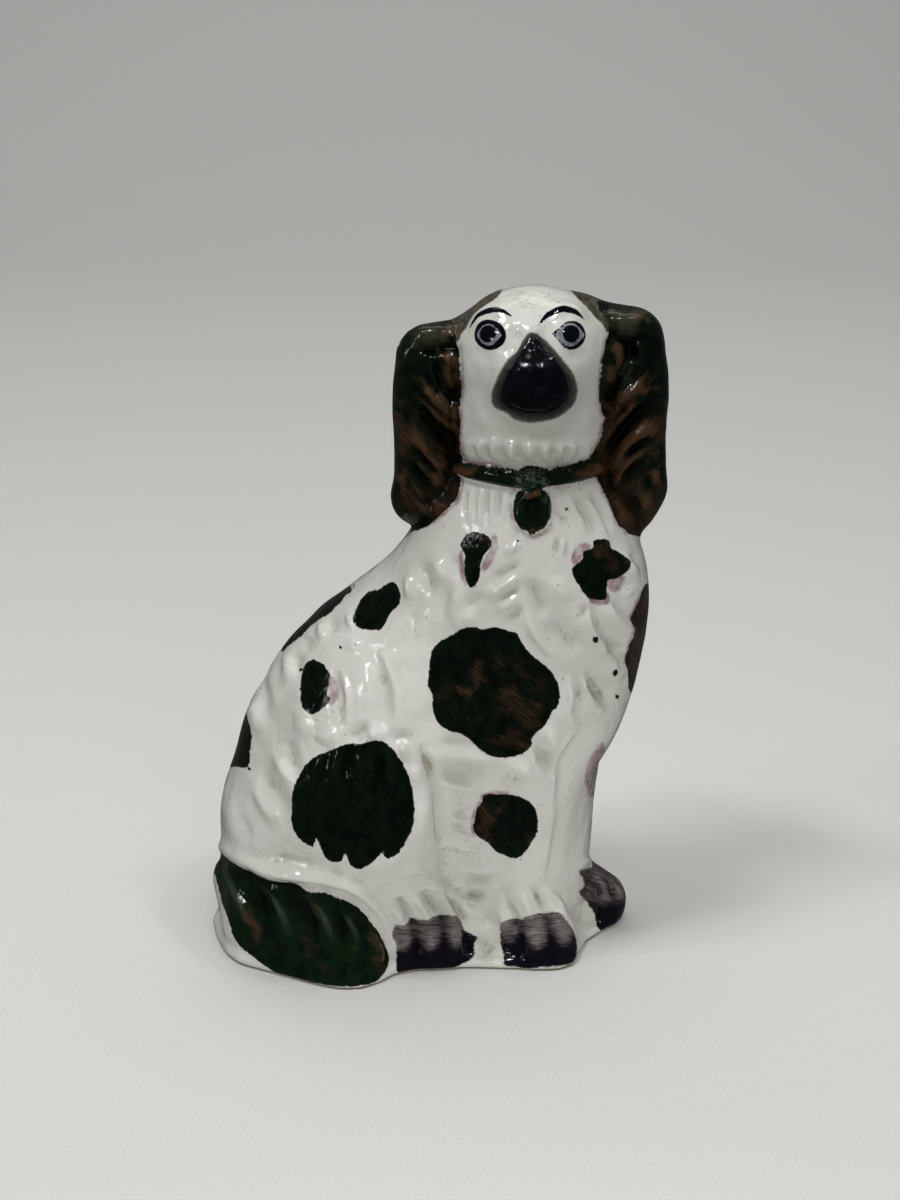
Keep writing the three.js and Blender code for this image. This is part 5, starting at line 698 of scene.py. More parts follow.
def ridge_height(u, v, strokes):
    h = np.zeros(u.shape)
    for a, w, power, end, pts in strokes:
        q = np.asarray(pts, float)
        r = w * (2.6 if power <= 2 else 1.6)
        m = (u > q[:, 0].min() - r) & (u < q[:, 0].max() + r) & (v > q[:, 1].min() - r) & (v < q[:, 1].max() + r)
        if not m.any():
            continue
        d, t = along(u[m], v[m], q)
        g = a * np.exp(-((d / w) ** power))
        if end > 0:
            s = np.clip(np.minimum(t, 1 - t) / 0.38, 0, 1)
            g = g * (1 - end + end * s * s * (3 - 2 * s))
        h[m] += g
    return h


def back_locks():
    """Long shallow locks of the plainer back half, laid out on its own sheet (x, z)."""
    out = []
    rnd = np.random.RandomState(7)
    for lines, n, amp, wide in (
        (([(-40, 118), (-56, 90), (-62, 62), (-62, 36)], [(2, 118), (-14, 92), (-22, 62), (-24, 34)]), 9, 0.55, 2.0),
        (([(8, 132), (2, 112), (-6, 92), (-14, 74)], [(50, 132), (50, 112), (44, 92), (36, 72)]), 9, 0.55, 1.8),
        (([(-12, 70), (-14, 52), (-12, 34), (-8, 18)], [(40, 70), (38, 52), (36, 34), (34, 18)]), 8, 0.45, 2.0),
    ):
        a, b = (np.array(x, float) for x in lines)
        for i in range(2 * n - 1):
            f = i / (2 * n - 2)
            line = a + (b - a) * f
            t = np.linspace(0, 1, 9)
            x = np.interp(t, np.linspace(0, 1, len(line)), line[:, 0]) + 0.9 * np.sin(rnd.rand() * 6 + t * 6)
            z = np.interp(t, np.linspace(0, 1, len(line)), line[:, 1]) + rnd.uniform(-5, 5)
            out.append(((amp if i % 2 == 0 else -amp * 0.8) * rnd.uniform(0.6, 1.1), wide * (1 if i % 2 == 0 else 0.8), 2, 0.9, list(zip(x, z))))
    for side, x0 in ((-1, -23.0), (1, 35.5)):      # combed ears
        for i in range(6):
            z = 176 - i * 8.5
            out.append((0.7, 1.2, 2, 0.9, [(x0 + side * 6.5, z + 4), (x0 + side * 1.5, z - 2), (x0 - side * 6, z - 13)]))
            out.append((-0.6, 1.0, 2, 0.9, [(x0 + side * 6.5, z), (x0 + side * 1.5, z - 6), (x0 - side * 6, z - 17)]))
    return out


def sheet_of(p):
    """Sheet coordinates of points; the back half is read straight on at the parting plane."""
    y = np.minimum(p[:, 1], PART_Y)
    t = (SHEET_Y - EYE_AT[1]) / (y - EYE_AT[1])
    return EYE_AT[0] + (p[:, 0] - EYE_AT[0]) * t, EYE_AT[2] + (p[:, 2] - EYE_AT[2]) * t


def ease(x, a, b):
    t = np.clip((x - a) / (b - a), 0, 1)
    return t * t * (3 - 2 * t)


def fine_loop(pts, n=4):
    """Closed smooth curve through the points."""
    p = np.asarray(pts, float)
    a, b, c, d = np.roll(p, 1, 0), p, np.roll(p, -1, 0), np.roll(p, -2, 0)
    out = []
    for t in np.arange(n) / n:
        out.append(0.5 * (2 * b + (c - a) * t + (2 * a - 5 * b + 4 * c - d) * t * t + (3 * b - a - 3 * c + d) * t ** 3))
    return np.stack(out, 1).reshape(-1, 2)


FAR = 6.0


def nearest(u, v, loops, smooth=True, mask=None):
    """Least signed distance to any of the loops, capped at FAR."""
    out = np.full(u.shape, FAR, np.float32)
    for loop in loops:
        q = fine_loop(loop) if smooth else np.asarray(loop, float)
        m = (u > q[:, 0].min() - FAR) & (u < q[:, 0].max() + FAR) & (v > q[:, 1].min() - FAR) & (v < q[:, 1].max() + FAR)
        if mask is not None:
            m &= mask
        if m.any():
            out[m] = np.minimum(out[m], inside_distance(u[m].astype(np.float32), v[m].astype(np.float32), q))
    return out


def blobs(u, v, items):
    """Soft uneven patches."""
    out = np.zeros(u.shape)
    u, v = (u + 0.9 * np.sin(v * 0.83 + 1.1) + 0.5 * np.sin(v * 2.1 + u * 0.7), v + 0.9 * np.sin(u * 0.71 + 0.4) + 0.5 * np.sin(u * 1.9 - v * 0.6))
    for x, y, rx, ry, ang, amount in items:
        c, s = math.cos(math.radians(ang)), math.sin(math.radians(ang))
        dx, dy = u - x, v - y
        q = np.hypot((dx * c + dy * s) / rx, (-dx * s + dy * c) / ry)
        out = np.maximum(out, amount * ease(q, 1.75, 0.2))
    return out


def stroke_width(u, v, pts, widths):
    """Signed distance to a brush line of varying half width."""
    pts = np.asarray(pts, float)
    out = np.full(u.shape, FAR)
    m = (u > pts[:, 0].min() - FAR) & (u < pts[:, 0].max() + FAR) & (v > pts[:, 1].min() - FAR) & (v < pts[:, 1].max() + FAR)
    t = np.linspace(0, len(pts) - 1, 40)
    k = np.arange(len(pts))
    line = np.stack([np.interp(t, k, pts[:, 0]), np.interp(t, k, pts[:, 1])], 1)
    w = np.interp(t, k, widths)
    best = np.full(m.sum(), FAR)
    for (x, y), r in zip(line, w):
        best = np.minimum(best, np.hypot(u[m] - x, v[m] - y) - r)
    out[m] = best
    return out


# ---------------------------------------------------------------- build
verts, quads, off_y, off_z = dual_surface(STEP)
on_seam, on_slab = off_y == 0, off_z == 0
seam_only = on_seam & (np.abs(verts[:, 1] - PART_Y) < STEP)
verts[seam_only, 1] = PART_Y
verts[on_slab, 2] = SLAB_Z
for _ in range(2):
    mean = neighbour_mean(verts, quads, len(verts))
    move = (mean - verts) * 0.55
    move[seam_only, 1] = 0
    move[on_slab, 2] = 0
    verts = verts + move
    verts = settle(verts, seam_only, on_slab, 1)
verts = settle(verts, seam_only, on_slab, 2)

base_normal = unit(slope(verts.astype(np.float32)).astype(float))
u, v = sheet_of(verts)
front = ease(verts[:, 1], PART_Y + 1.0, PART_Y - 3.5)
rear = ease(verts[:, 1], PART_Y - 1.0, PART_Y + 4.0)
above = ease(verts[:, 2], 1.2, 5.0)
relief = ridge_height(u, v, RELIEF) * front + ridge_height(verts[:, 0], verts[:, 2], back_locks()) * rear
facing = ease(-base_normal[:, 2], 0.97, 0.7)     # nothing on the underside
seam_line = 0.22 * np.exp(-(((verts[:, 1] - PART_Y) / 0.55) ** 2)) * (0.6 + 0.4 * np.sin(verts[:, 2] * 0.31 + verts[:, 0] * 0.23))
shift = (relief + seam_line) * above * facing
push = base_normal.copy()
push[seam_only, 1] = 0
push[on_slab, 2] = 0
moved = verts + push * shift[:, None]
moved[:, 1] = np.minimum(moved[:, 1], BACK_Y)
moved[:, 2] = np.maximum(moved[:, 2], 0.0)
normal = normals_of(moved, quads)

# hollows of the relief: they darken the recesses below, partly as grime and pooled glaze, partly as painted shade
smooth = moved.copy()
hollow = np.zeros(len(moved))
for i in range(10):
    smooth = neighbour_mean(smooth, quads, len(moved))
    if i in (2, 9):
        hollow += ((smooth - moved) * normal).sum(1) * (1.0 if i == 2 else 0.6)
for _ in range(2):
    hollow = neighbour_mean(hollow, quads, len(moved))
height = neighbour_mean(relief, quads, len(moved))

# ---------------------------------------------------------------- decoration, as distances and amounts
is_front = verts[:, 1] <= PART_Y + 1e-6
spots = {k: p for k, p in SPOTS.items()}
copper = nearest(u, v, [spots[k] for k in spots if k not in ("locket", "shackle", "collar")], mask=is_front)
# below the collar the ear colour stays off the shoulder behind the ears
first = next(i for i, f in enumerate(FORMS) if f[1] == "block" and f[2][2] > 140)
ear_d = np.min([SHAPES[kind](verts.astype(np.float32), *args) for op, kind, *args, k in FORMS[first:first + 6]], axis=0)
copper = np.minimum(copper, np.maximum(nearest(u, v, EARS), ear_d - 2.2 - 9.0 * ease(verts[:, 2], 143.0, 151.0) - 14.0 * ease(verts[:, 1], 6.0, -4.0)))
wrapped = nearest(u, v, [spots["c"], spots["g"], spots["h"], spots["tail"]], mask=~is_front)
copper = np.minimum(copper, wrapped)
neckwear = nearest(u, v, [spots["collar"], spots["locket"], spots["shackle"]], mask=is_front)
# behind the head the collar runs on as a band, and the coat has its own patches
bx, bz = verts[:, 0], verts[:, 2]
band_mid = 149.6 + 0.10 * (bx - 26)
behind = np.where(~is_front & (bx > -2) & (bx < 60), np.abs(bz - band_mid) - 1.9, FAR)
neckwear = np.minimum(neckwear, behind)
rear_spots = ((-18, 92, 12.5, 9.5, 35), (22, 62, 12, 10.5, 0), (-40, 58, 8, 10.5, 10), (30, 110, 8.5, 9.5, -20),
              (-2, 38, 7, 6, 0), (-47, 96, 13, 8, 48), (2, 118, 6, 6.5, 0))
for x, z, rx, rz, ang in rear_spots:
    c, s = math.cos(math.radians(ang)), math.sin(math.radians(ang))
    dx, dz = bx - x, bz - z
    q = np.hypot((dx * c + dz * s) / rx, (-dx * s + dz * c) / rz)
    lump = 0.09 * np.sin(3 * np.arctan2(dz, dx) + x) + 0.05 * np.sin(7 * np.arctan2(dz, dx) + z)
    dist = (q - 1 - lump) * min(rx, rz)
    weight = np.where(~is_front, dist, FAR)
    copper = np.minimum(copper, weight)
hem = 165.0 + 3.5 * np.cos(bx * 0.31) + 1.5 * np.sin(bx * 0.9) - bz
crown = np.where(~is_front & (bz > 150), np.maximum(10.5 + 0.9 * np.sin(bz * 0.31) - np.abs(bx - 28.0), hem), FAR)
copper = np.minimum(copper, crown)
for x, z, w, h in SPECKS:
    m = is_front & (np.abs(u - x) < 6) & (np.abs(v - z) < 6)
    copper[m] = np.minimum(copper[m], (np.hypot((u[m] - x) / w, (v[m] - z) / h) - 1) * min(w, h))
copper = np.minimum(copper, neckwear)

# brushwork at the side runs a few millimetres round behind the seam
past = np.maximum(verts[:, 1] - PART_Y, 0.0)
lustre = np.where(past < 9, np.maximum(nearest(u, v, LUSTRE), np.where(is_front, -FAR, past - 5.0 + np.sin(bz * 0.8))), FAR)
for x, z, rx, rz, ang in rear_spots[:4]:
    dist = (np.hypot((bx - x - 1.4) / rx, (bz - z + 1.2) / rz) - 1.04) * min(rx, rz)
    lustre = np.where(~is_front, np.minimum(lustre, dist), lustre)
wash = nearest(u, v, WASHES, mask=is_front)
nose = nearest(u, v, [NOSE], mask=is_front)
nose_wash = nearest(u, v, [NOSE_WASH], mask=is_front)
ink = np.minimum(stroke_width(u, v, *BROW_L), stroke_width(u, v, *BROW_R))
iris = np.full(u.shape, FAR)
for e in EYES:
    ex, ez = e["at"]
    rx, rz = e["radii"]
    oval = (np.hypot((u - ex) / rx, (v - ez) / rz) - 1) * min(rx, rz)
    if e["corner"]:              # the rim runs out to a point at the inner corner
        oval = np.minimum(oval, stroke_width(u, v, [e["at"], e["corner"]], [rz * 0.93, 0.1]))
    lx, lz = e["ring_at"]
    wide, tall = e["ring"]
    almond = (np.abs(v - lz) / tall + ((u - lx) / wide) ** 2 - 1) * min(wide, tall) * 0.62
    px, pz = e["pupil"]
    pr = np.hypot(u - px, v - pz)
    ink = np.minimum(ink, np.maximum(oval, -almond))              # broad outer ring
    ink = np.minimum(ink, pr - e["pupil_r"])                      # pupil
    iris = np.minimum(iris, np.maximum(almond, e["pupil_r"] - 0.2 - pr))
ink = np.where(is_front, ink, FAR)
iris = np.where(is_front, iris, FAR)
paw = np.where(past < 12, np.maximum(nearest(u, v, PAWS), np.where(is_front, -FAR, past - 7.5 + 1.2 * np.sin(bz * 0.9))), FAR)
brown = blobs(u, v, BROWN) * is_front
brown = np.where(~is_front, 0.45 * (0.5 + 0.5 * np.sin(bx * 0.22) * np.cos(bz * 0.13)), brown)
brown = np.maximum(brown, 1.1 * ease(nearest(u, v, [spots["c"]], mask=~is_front), 2.0, -1.0) * ~is_front)
stain = blobs(u, v, STAINS) * is_front
ear_sheen = blobs(u, v, EAR_SHEEN_SPOTS) * is_front                              # painted sheen: lighter grey-green on the ear tops
teal = blobs(u, v, CRYSTALS) * is_front                         # pale crystals round the locket loop
bare = ease(verts[:, 2], 1.1, 0.35)                              # wiped foot and underside

grain = np.zeros((len(verts), 3))
best = np.full(len(verts), 1.6)
angle = np.full(len(verts), -75.0)
for x, z, rx, rz, ang in GRAIN:
    q = np.hypot((u - x) / rx, (v - z) / rz)
    near = (q < best) & is_front
    best[near] = q[near]
    angle[near] = ang
ca, sa = np.cos(np.radians(angle)), np.sin(np.radians(angle))
grain[:, 0] = -u * sa + v * ca          # across the stroke
grain[:, 1] = u * ca + v * sa           # along it
grain[:, 2] = angle * 0.7 + verts[:, 1] * 0.1

FIELDS = {"copper": copper, "lustre": lustre, "wash": wash, "nose": nose, "nose_wash": nose_wash, "ink": ink, "iris": iris,
          "paw": paw, "brown": brown, "stain": stain, "ear_sheen": ear_sheen, "teal": teal, "bare": bare, "hollow": hollow, "height": height}


def add_piece(name, faces, material):
    used, inverse = np.unique(faces.ravel(), return_inverse=True)
    f = inverse.reshape(faces.shape)
    me = bpy.data.meshes.new(name)
    me.vertices.add(len(used))
    me.vertices.foreach_set("co", (moved[used] / MM).astype(np.float32).ravel())
    me.loops.add(f.size)
    me.loops.foreach_set("vertex_index", f.astype(np.int32).ravel())
    me.polygons.add(len(f))
    me.polygons.foreach_set("loop_start", (np.arange(len(f)) * 4).astype(np.int32))
    me.polygons.foreach_set("loop_total", np.full(len(f), 4, np.int32))
    me.polygons.foreach_set("use_smooth", np.ones(len(f), bool))
    me.update(calc_edges=True)
    me.validate()
    for key, val in FIELDS.items():
        at = me.attributes.new(key, "FLOAT", "POINT")
        at.data.foreach_set("value", val[used].astype(np.float32))
    at = me.attributes.new("grain", "FLOAT_VECTOR", "POINT")
    at.data.foreach_set("vector", grain[used].astype(np.float32).ravel())
    me.normals_split_custom_set_from_vertices(normal[used].astype(np.float32))
    me.materials.append(material)
    o = bpy.data.objects.new(name, me)
    bpy.context.scene.collection.objects.link(o)
    return o


# ---------------------------------------------------------------- materials
class Nodes:
    """Short calls for building a node tree."""

    def __init__(self, name):
        self.mat = bpy.data.materials.new(name)
        self.mat.use_nodes = True
        self.tree = self.mat.node_tree
        self.tree.nodes.clear()
        self.out = self.tree.nodes.new("ShaderNodeOutputMaterial")
        self.bsdf = self.tree.nodes.new("ShaderNodeBsdfPrincipled")
        self.tree.links.new(self.bsdf.outputs[0], self.out.inputs[0])

    def put(self, socket, value):
        if isinstance(value, bpy.types.NodeSocket):
            self.tree.links.new(value, socket)
        elif value is not None:
            socket.default_value = value

    def node(self, kind, **props):
        n = self.tree.nodes.new(kind)
        for k, val in props.items():
            setattr(n, k, val)
        return n

    def attr(self, name, vector=False):
        n = self.node("ShaderNodeAttribute", attribute_name=name)
        return n.outputs["Vector" if vector else "Fac"]

    def math(self, op, a, b=None, c=None, clamp=False):
        n = self.node("ShaderNodeMath", operation=op, use_clamp=clamp)
        for s, val in zip(n.inputs, (a, b, c)):
            self.put(s, val)
        return n.outputs[0]

    def add(self, a, b): return self.math("ADD", a, b)
    def sub(self, a, b): return self.math("SUBTRACT", a, b)
    def mul(self, a, b): return self.math("MULTIPLY", a, b)

    def ease(self, x, a, b, lo=0.0, hi=1.0):
        n = self.node("ShaderNodeMapRange", interpolation_type="SMOOTHSTEP")
        for s, val in zip((0, 1, 2, 3, 4), (x, a, b, lo, hi)):
            self.put(n.inputs[s], val)
        return n.outputs[0]

    def mix(self, f, a, b):
        n = self.node("ShaderNodeMix", data_type="RGBA", clamp_factor=True)
        self.put(n.inputs[0], f)
        self.put(n.inputs[6], a)
        self.put(n.inputs[7], b)
        return n.outputs[2]

    def blend(self, f, a, b):
        n = self.node("ShaderNodeMix", data_type="FLOAT", clamp_factor=True)
        self.put(n.inputs[0], f)
        self.put(n.inputs[2], a)
        self.put(n.inputs[3], b)
        return n.outputs[0]

    def vec(self, v, scale):
        n = self.node("ShaderNodeVectorMath", operation="MULTIPLY")
        self.put(n.inputs[0], v)
        n.inputs[1].default_value = scale if hasattr(scale, "__len__") else (scale,) * 3
        return n.outputs[0]

    def noise(self, v, scale=1.0, detail=3.0, rough=0.55, distort=0.0):
        n = self.node("ShaderNodeTexNoise", noise_dimensions="3D")
        self.put(n.inputs["Vector"], v)
        for k, val in (("Scale", scale), ("Detail", detail), ("Roughness", rough), ("Distortion", distort)):
            n.inputs[k].default_value = val
        return n.outputs[0]

    def cells(self, v, scale, feature="F1"):
        n = self.node("ShaderNodeTexVoronoi", feature=feature)
        self.put(n.inputs["Vector"], v)
        n.inputs["Scale"].default_value = scale
        return n.outputs["Distance"]


def rgb(r, g, b):
    return (r, g, b, 1.0)


def glaze_material(name):
    k = Nodes(name)
    pos = k.vec(k.node("ShaderNodeTexCoord").outputs["Object"], MM)      # millimetres
    grain = k.attr("grain", True)
    slow = k.noise(pos, 0.045, 2)
    mid = k.noise(pos, 0.33, 3)
    fine = k.noise(pos, 1.6, 3)
    hollow = k.attr("hollow")
    height = k.attr("height")

    # white ground: slightly uneven glaze, greyer and greener in the hollows (pooled glaze, with painted shade in the
    # creases), small pits and specks
    white = k.mix(k.ease(slow, 0.35, 0.65), rgb(*WHITE_A), rgb(*WHITE_B))
    white = k.mix(k.mul(k.ease(mid, 0.4, 0.75), 0.10), white, rgb(0.50, 0.52, 0.465))
    # painted shade: the white is greyed in the hollows of the relief, partly as pooled glaze
    pool_and_shade = k.mul(k.ease(k.add(hollow, k.mul(k.sub(mid, 0.5), 0.10)), 0.08, 0.85), POOL_AND_SHADE)
    white = k.mix(pool_and_shade, white, rgb(0.40, 0.405, 0.345))
    dirt_at = k.ease(k.noise(pos, 0.12, 4, 0.7), 0.52, 0.68)
    dirt = k.mul(k.mul(dirt_at, k.ease(hollow, 0.10, 0.40)), 0.5)
    white = k.mix(dirt, white, rgb(0.20, 0.17, 0.10))
    pit = k.cells(pos, 0.42)
    gate = k.ease(k.noise(pos, 0.42, 0), 0.60, 0.66)
    pits = k.mul(k.ease(pit, 0.16, 0.09), gate)
    white = k.mix(k.mul(pits, 0.55), white, rgb(0.16, 0.14, 0.10))
    smear = k.mul(k.attr("stain"), k.ease(k.noise(pos, 0.9, 4, 0.75), 0.46, 0.60))
    white = k.mix(k.mul(smear, 0.75), white, rgb(0.26, 0.27, 0.15))

    # painted shade: the ground is greyed over the front of the lower face and muzzle
    spot = k.node("ShaderNodeSeparateXYZ")
    k.put(spot.inputs[0], pos)
    muzzle = k.mul(k.mul(k.ease(spot.outputs[2], 145.0, 152.0), k.ease(spot.outputs[2], 188.0, 174.0)), k.ease(spot.outputs[1], 4.0, -4.0))
    white = k.mix(k.mul(muzzle, 0.42), white, rgb(0.33, 0.335, 0.30))

    # pink lustre edging
    wob = k.mul(k.sub(k.noise(pos, 0.8, 3), 0.5), 1.6)
    pink_f = k.mul(k.ease(k.add(k.attr("lustre"), wob), 0.20, -0.75), k.ease(mid, 0.3, 0.65, 0.35, 0.9))
    colour = k.mix(pink_f, white, rgb(0.255, 0.15, 0.185))

    # thin green-brown wash on the sides of the skull
    wash_f = k.mul(k.ease(k.add(k.attr("wash"), k.mul(wob, 0.4)), 0.25, -0.25), k.ease(k.noise(grain, 0.5, 3), 0.3, 0.7, 0.90, 1.0))
    wash_c = k.mix(k.ease(mid, 0.35, 0.65), rgb(0.030, 0.032, 0.018), rgb(0.080, 0.062, 0.036))
    colour = k.mix(wash_f, colour, wash_c)

    # grey brushed border of the nose
    streak_n = k.noise(k.vec(pos, (3.0, 1.0, 0.5)), 1.0, 3, 0.7)
    grey_f = k.mul(k.ease(k.add(k.attr("nose_wash"), k.mul(wob, 0.35)), 0.40, -0.45), 0.97)
    halo = k.ease(k.add(k.attr("nose"), k.mul(k.sub(k.noise(pos, 0.7, 3), 0.5), 2.2)), 0.0, 2.6)
    colour = k.mix(grey_f, colour, k.mix(halo, rgb(0.014, 0.012, 0.012), rgb(0.105, 0.094, 0.082)))

    # copper green with brown where it thins over the ridges and along the brush; painted shade in its recesses and
    # painted highlights on its crests
    ragged = k.add(k.mul(k.sub(k.noise(k.vec(grain, (1.3, 0.45, 1.0)), 1.0, 3, 0.6), 0.5), 1.3), k.mul(k.sub(fine, 0.5), 0.35))
    green_d = k.add(k.attr("copper"), ragged)
    green_f = k.ease(green_d, 0.13, -0.13)
    brush = k.noise(k.vec(grain, (0.95, 0.13, 1.0)), 1.0, 4, 0.65, 0.4)
    hair = k.noise(k.vec(grain, (1.9, 0.17, 1.0)), 1.0, 3, 0.7)
    amount = k.attr("brown")
    lift = k.mul(k.add(k.mul(height, 0.07), k.mul(hollow, -0.22)), k.ease(amount, 0.0, 0.4))
    brown_n = k.add(k.add(k.mul(brush, 0.34), k.mul(hair, 0.42)), lift)
    brown_t = k.add(brown_n, k.mul(k.sub(amount, 1.0), 0.60))
    brown_f = k.mul(k.ease(brown_t, -0.06, 0.44), k.ease(amount, 0.02, 0.25))
    # the green is darker in the recesses of the relief: painted shade, over random mottling
    green = k.mix(k.ease(k.add(mid, k.mul(hollow, -0.5)), 0.35, 0.75), rgb(*GREEN_A), rgb(*GREEN_B))
    at = k.node("ShaderNodeSeparateXYZ")
    k.put(at.inputs[0], pos)
    low_down = k.ease(at.outputs[2], 44.0, 30.0)
    # brown is lighter along the brush streaks and on the relief crests, and darker in the recesses: brush marks with
    # painted highlight and painted shade
    streak_and_relief_light = k.add(k.mul(hair, 0.72), k.mul(k.add(height, k.mul(hollow, -1.2)), k.mul(k.ease(amount, 0.0, 0.4), 0.34)))
    brown_c = k.mix(k.ease(streak_and_relief_light, 0.27, 0.60), rgb(*BROWN_A), rgb(*BROWN_B))
    brown_c = k.mix(k.mul(low_down, 0.45), brown_c, rgb(0.014, 0.009, 0.006))
    green = k.mix(k.mul(low_down, k.ease(k.add(mid, k.mul(height, 0.08)), 0.3, 0.7, 0.25, 1.0)), green, rgb(0.0055, 0.0185, 0.0070))
    copper = k.mix(k.mul(brown_f, 0.92), green, brown_c)
    # low down, mostly on the tail, the copper is lighter grey-green along the relief crests: partly glaze running thin
    # there, partly a painted highlight along the ridges
    copper = k.mix(k.mul(low_down, k.ease(k.add(height, k.mul(hair, 0.5)), 1.3, 2.3, 0.0, 0.6)), copper, rgb(0.060, 0.080, 0.058))
    # painted shade: the copper colour goes near black in the recesses of the relief
    copper = k.mix(k.ease(hollow, 0.18, 0.75, 0.0, 0.85), copper, rgb(0.0012, 0.0018, 0.0010))
    thin = k.mul(k.ease(green_d, -0.8, 0.0), 0.35)
    copper = k.mix(thin, copper, rgb(0.030, 0.032, 0.020))
    # painted sheen: the copper is lightened to grey-green on the ear tops and ridges
    ear_sheen_f = k.mul(k.attr("ear_sheen"), k.ease(k.noise(grain, 0.6, 3, 0.6), 0.2, 0.6, 0.6, 1.0))
    copper = k.mix(ear_sheen_f, copper, rgb(0.046, 0.050, 0.031))
    teal = k.mul(k.attr("teal"), k.ease(fine, 0.40, 0.62))
    copper = k.mix(teal, copper, rgb(0.085, 0.125, 0.085))
    colour = k.mix(green_f, colour, copper)

    # blue-black nose, brows, eye rims; blue iris
    ink_edge = k.mul(k.sub(k.noise(pos, 1.1, 3), 0.5), 0.45)
    iris_f = k.ease(k.attr("iris"), 0.18, -0.18)
    colour = k.mix(k.mul(iris_f, 0.9), colour, k.mix(mid, rgb(0.13, 0.148, 0.20), rgb(0.21, 0.228, 0.285)))
    nose_f = k.mul(k.ease(k.add(k.attr("nose"), ink_edge), 0.15, -0.2), k.ease(streak_n, 0.15, 0.5, 0.93, 1.0))
    colour = k.mix(nose_f, colour, k.mix(k.ease(mid, 0.4, 0.7), rgb(0.0015, 0.0012, 0.0035), rgb(0.006, 0.005, 0.012)))
    ink_f = k.ease(k.add(k.attr("ink"), k.mul(ink_edge, 0.5)), 0.12, -0.14)
    colour = k.mix(ink_f, colour, rgb(0.0025, 0.003, 0.008))

    # paws: a drying brush, streaks over blue-black
    dry = k.noise(k.vec(grain, (5.0, 0.35, 1.0)), 1.0, 4, 0.75)
    dry2 = k.noise(k.vec(grain, (1.2, 0.18, 1.0)), 1.0, 2, 0.5)
    paw_d = k.add(k.attr("paw"), k.mul(k.sub(k.noise(k.vec(grain, (3.2, 0.5, 1.0)), 1.0, 3, 0.7), 0.5), 2.4))
    paw_f = k.ease(paw_d, 0.18, -0.18)
    # the paw streaks and the black band below are lighter on the relief crests: a painted highlight along the toe
    # ridges
    paw_c = k.mix(k.ease(k.add(k.add(k.mul(dry, 0.7), k.mul(dry2, 0.4)), k.mul(height, 0.10)), 0.42, 0.74), rgb(0.022, 0.018, 0.020), rgb(0.205, 0.178, 0.172))
    low = k.node("ShaderNodeSeparateXYZ")
    k.put(low.inputs[0], pos)
    deep = k.ease(k.add(k.add(low.outputs[2], k.mul(k.sub(dry, 0.5), 8.0)), k.mul(height, 1.6)), 11.5, 7.5)
    paw_c = k.mix(k.mul(deep, 0.97), paw_c, rgb(0.004, 0.003, 0.008))
    colour = k.mix(paw_f, colour, paw_c)

    # bare foot
    bare_f = k.ease(k.add(k.attr("bare"), k.mul(k.sub(fine, 0.5), 0.5)), 0.35, 0.65)
    bare_c = k.mix(k.ease(mid, 0.35, 0.7), rgb(0.56, 0.50, 0.38), rgb(0.38, 0.32, 0.23))
    bare_c = k.mix(k.mul(k.ease(k.noise(pos, 0.6, 4, 0.7), 0.55, 0.7), 0.6), bare_c, rgb(0.20, 0.17, 0.12))
    colour = k.mix(bare_f, colour, bare_c)

    painted = k.math("MAXIMUM", green_f, nose_f)
    rough = k.blend(k.ease(mid, 0.3, 0.7), 0.08, 0.13)
    rough = k.blend(painted, rough, k.blend(k.ease(brush, 0.4, 0.65), 0.08, 0.16))
    rough = k.blend(nose_f, rough, 0.22)
    rough = k.blend(k.mul(brown_f, green_f), rough, 0.26)
    rough = k.blend(k.mul(paw_f, k.sub(1.0, deep)), rough, 0.34)
    rough = k.blend(k.math("MAXIMUM", dirt, k.mul(smear, 0.6)), rough, 0.45)
    rough = k.blend(bare_f, rough, 0.85)

    bump_h = k.add(k.mul(k.noise(pos, 0.16, 2), 0.75), k.mul(k.mul(mid, 0.16), k.sub(1.0, k.mul(nose_f, 0.7))))
    bump_h = k.add(bump_h, k.mul(fine, 0.010))
    bump_h = k.add(bump_h, k.mul(green_f, 0.05))
    bump_h = k.add(bump_h, k.mul(k.mul(brush, green_f), 0.10))
    bump_h = k.sub(bump_h, k.mul(pits, 0.06))
    bump_h = k.add(bump_h, k.mul(bare_f, k.mul(k.noise(pos, 2.5, 4, 0.8), 0.16)))
    bump = k.node("ShaderNodeBump")
    bump.inputs["Strength"].default_value = 0.9
    bump.inputs["Distance"].default_value = 0.001
    k.put(bump.inputs["Height"], bump_h)
    k.put(k.bsdf.inputs["Normal"], bump.outputs[0])
    k.put(k.bsdf.inputs["Base Color"], colour)
    k.put(k.bsdf.inputs["Roughness"], rough)
    k.bsdf.inputs["IOR"].default_value = 1.5
    k.bsdf.inputs["Specular IOR Level"].default_value = 0.5
    return k.mat


def clay_material(name):
    k = Nodes(name)
    pos = k.vec(k.node("ShaderNodeTexCoord").outputs["Object"], MM)
    a = k.noise(pos, 0.25, 4)
    b = k.noise(pos, 1.8, 5, 0.7)
    colour = k.mix(k.ease(a, 0.35, 0.65), rgb(0.58, 0.52, 0.40), rgb(0.44, 0.38, 0.28))
    colour = k.mix(k.mul(k.ease(b, 0.55, 0.72), 0.5), colour, rgb(0.26, 0.22, 0.16))
    finger = k.noise(k.vec(pos, (0.12, 0.12, 0.5)), 1.0, 2)
    bump = k.node("ShaderNodeBump")
    bump.inputs["Strength"].default_value = 0.8
    bump.inputs["Distance"].default_value = 0.001
    k.put(bump.inputs["Height"], k.add(k.mul(b, 0.25), k.mul(finger, 0.6)))
    k.put(k.bsdf.inputs["Normal"], bump.outputs[0])
    k.put(k.bsdf.inputs["Base Color"], colour)
    k.put(k.bsdf.inputs["Roughness"], k.blend(a, 0.82, 0.92))
    return k.mat


WHITE_A = (0.60, 0.60, 0.565)
WHITE_B = (0.55, 0.545, 0.505)
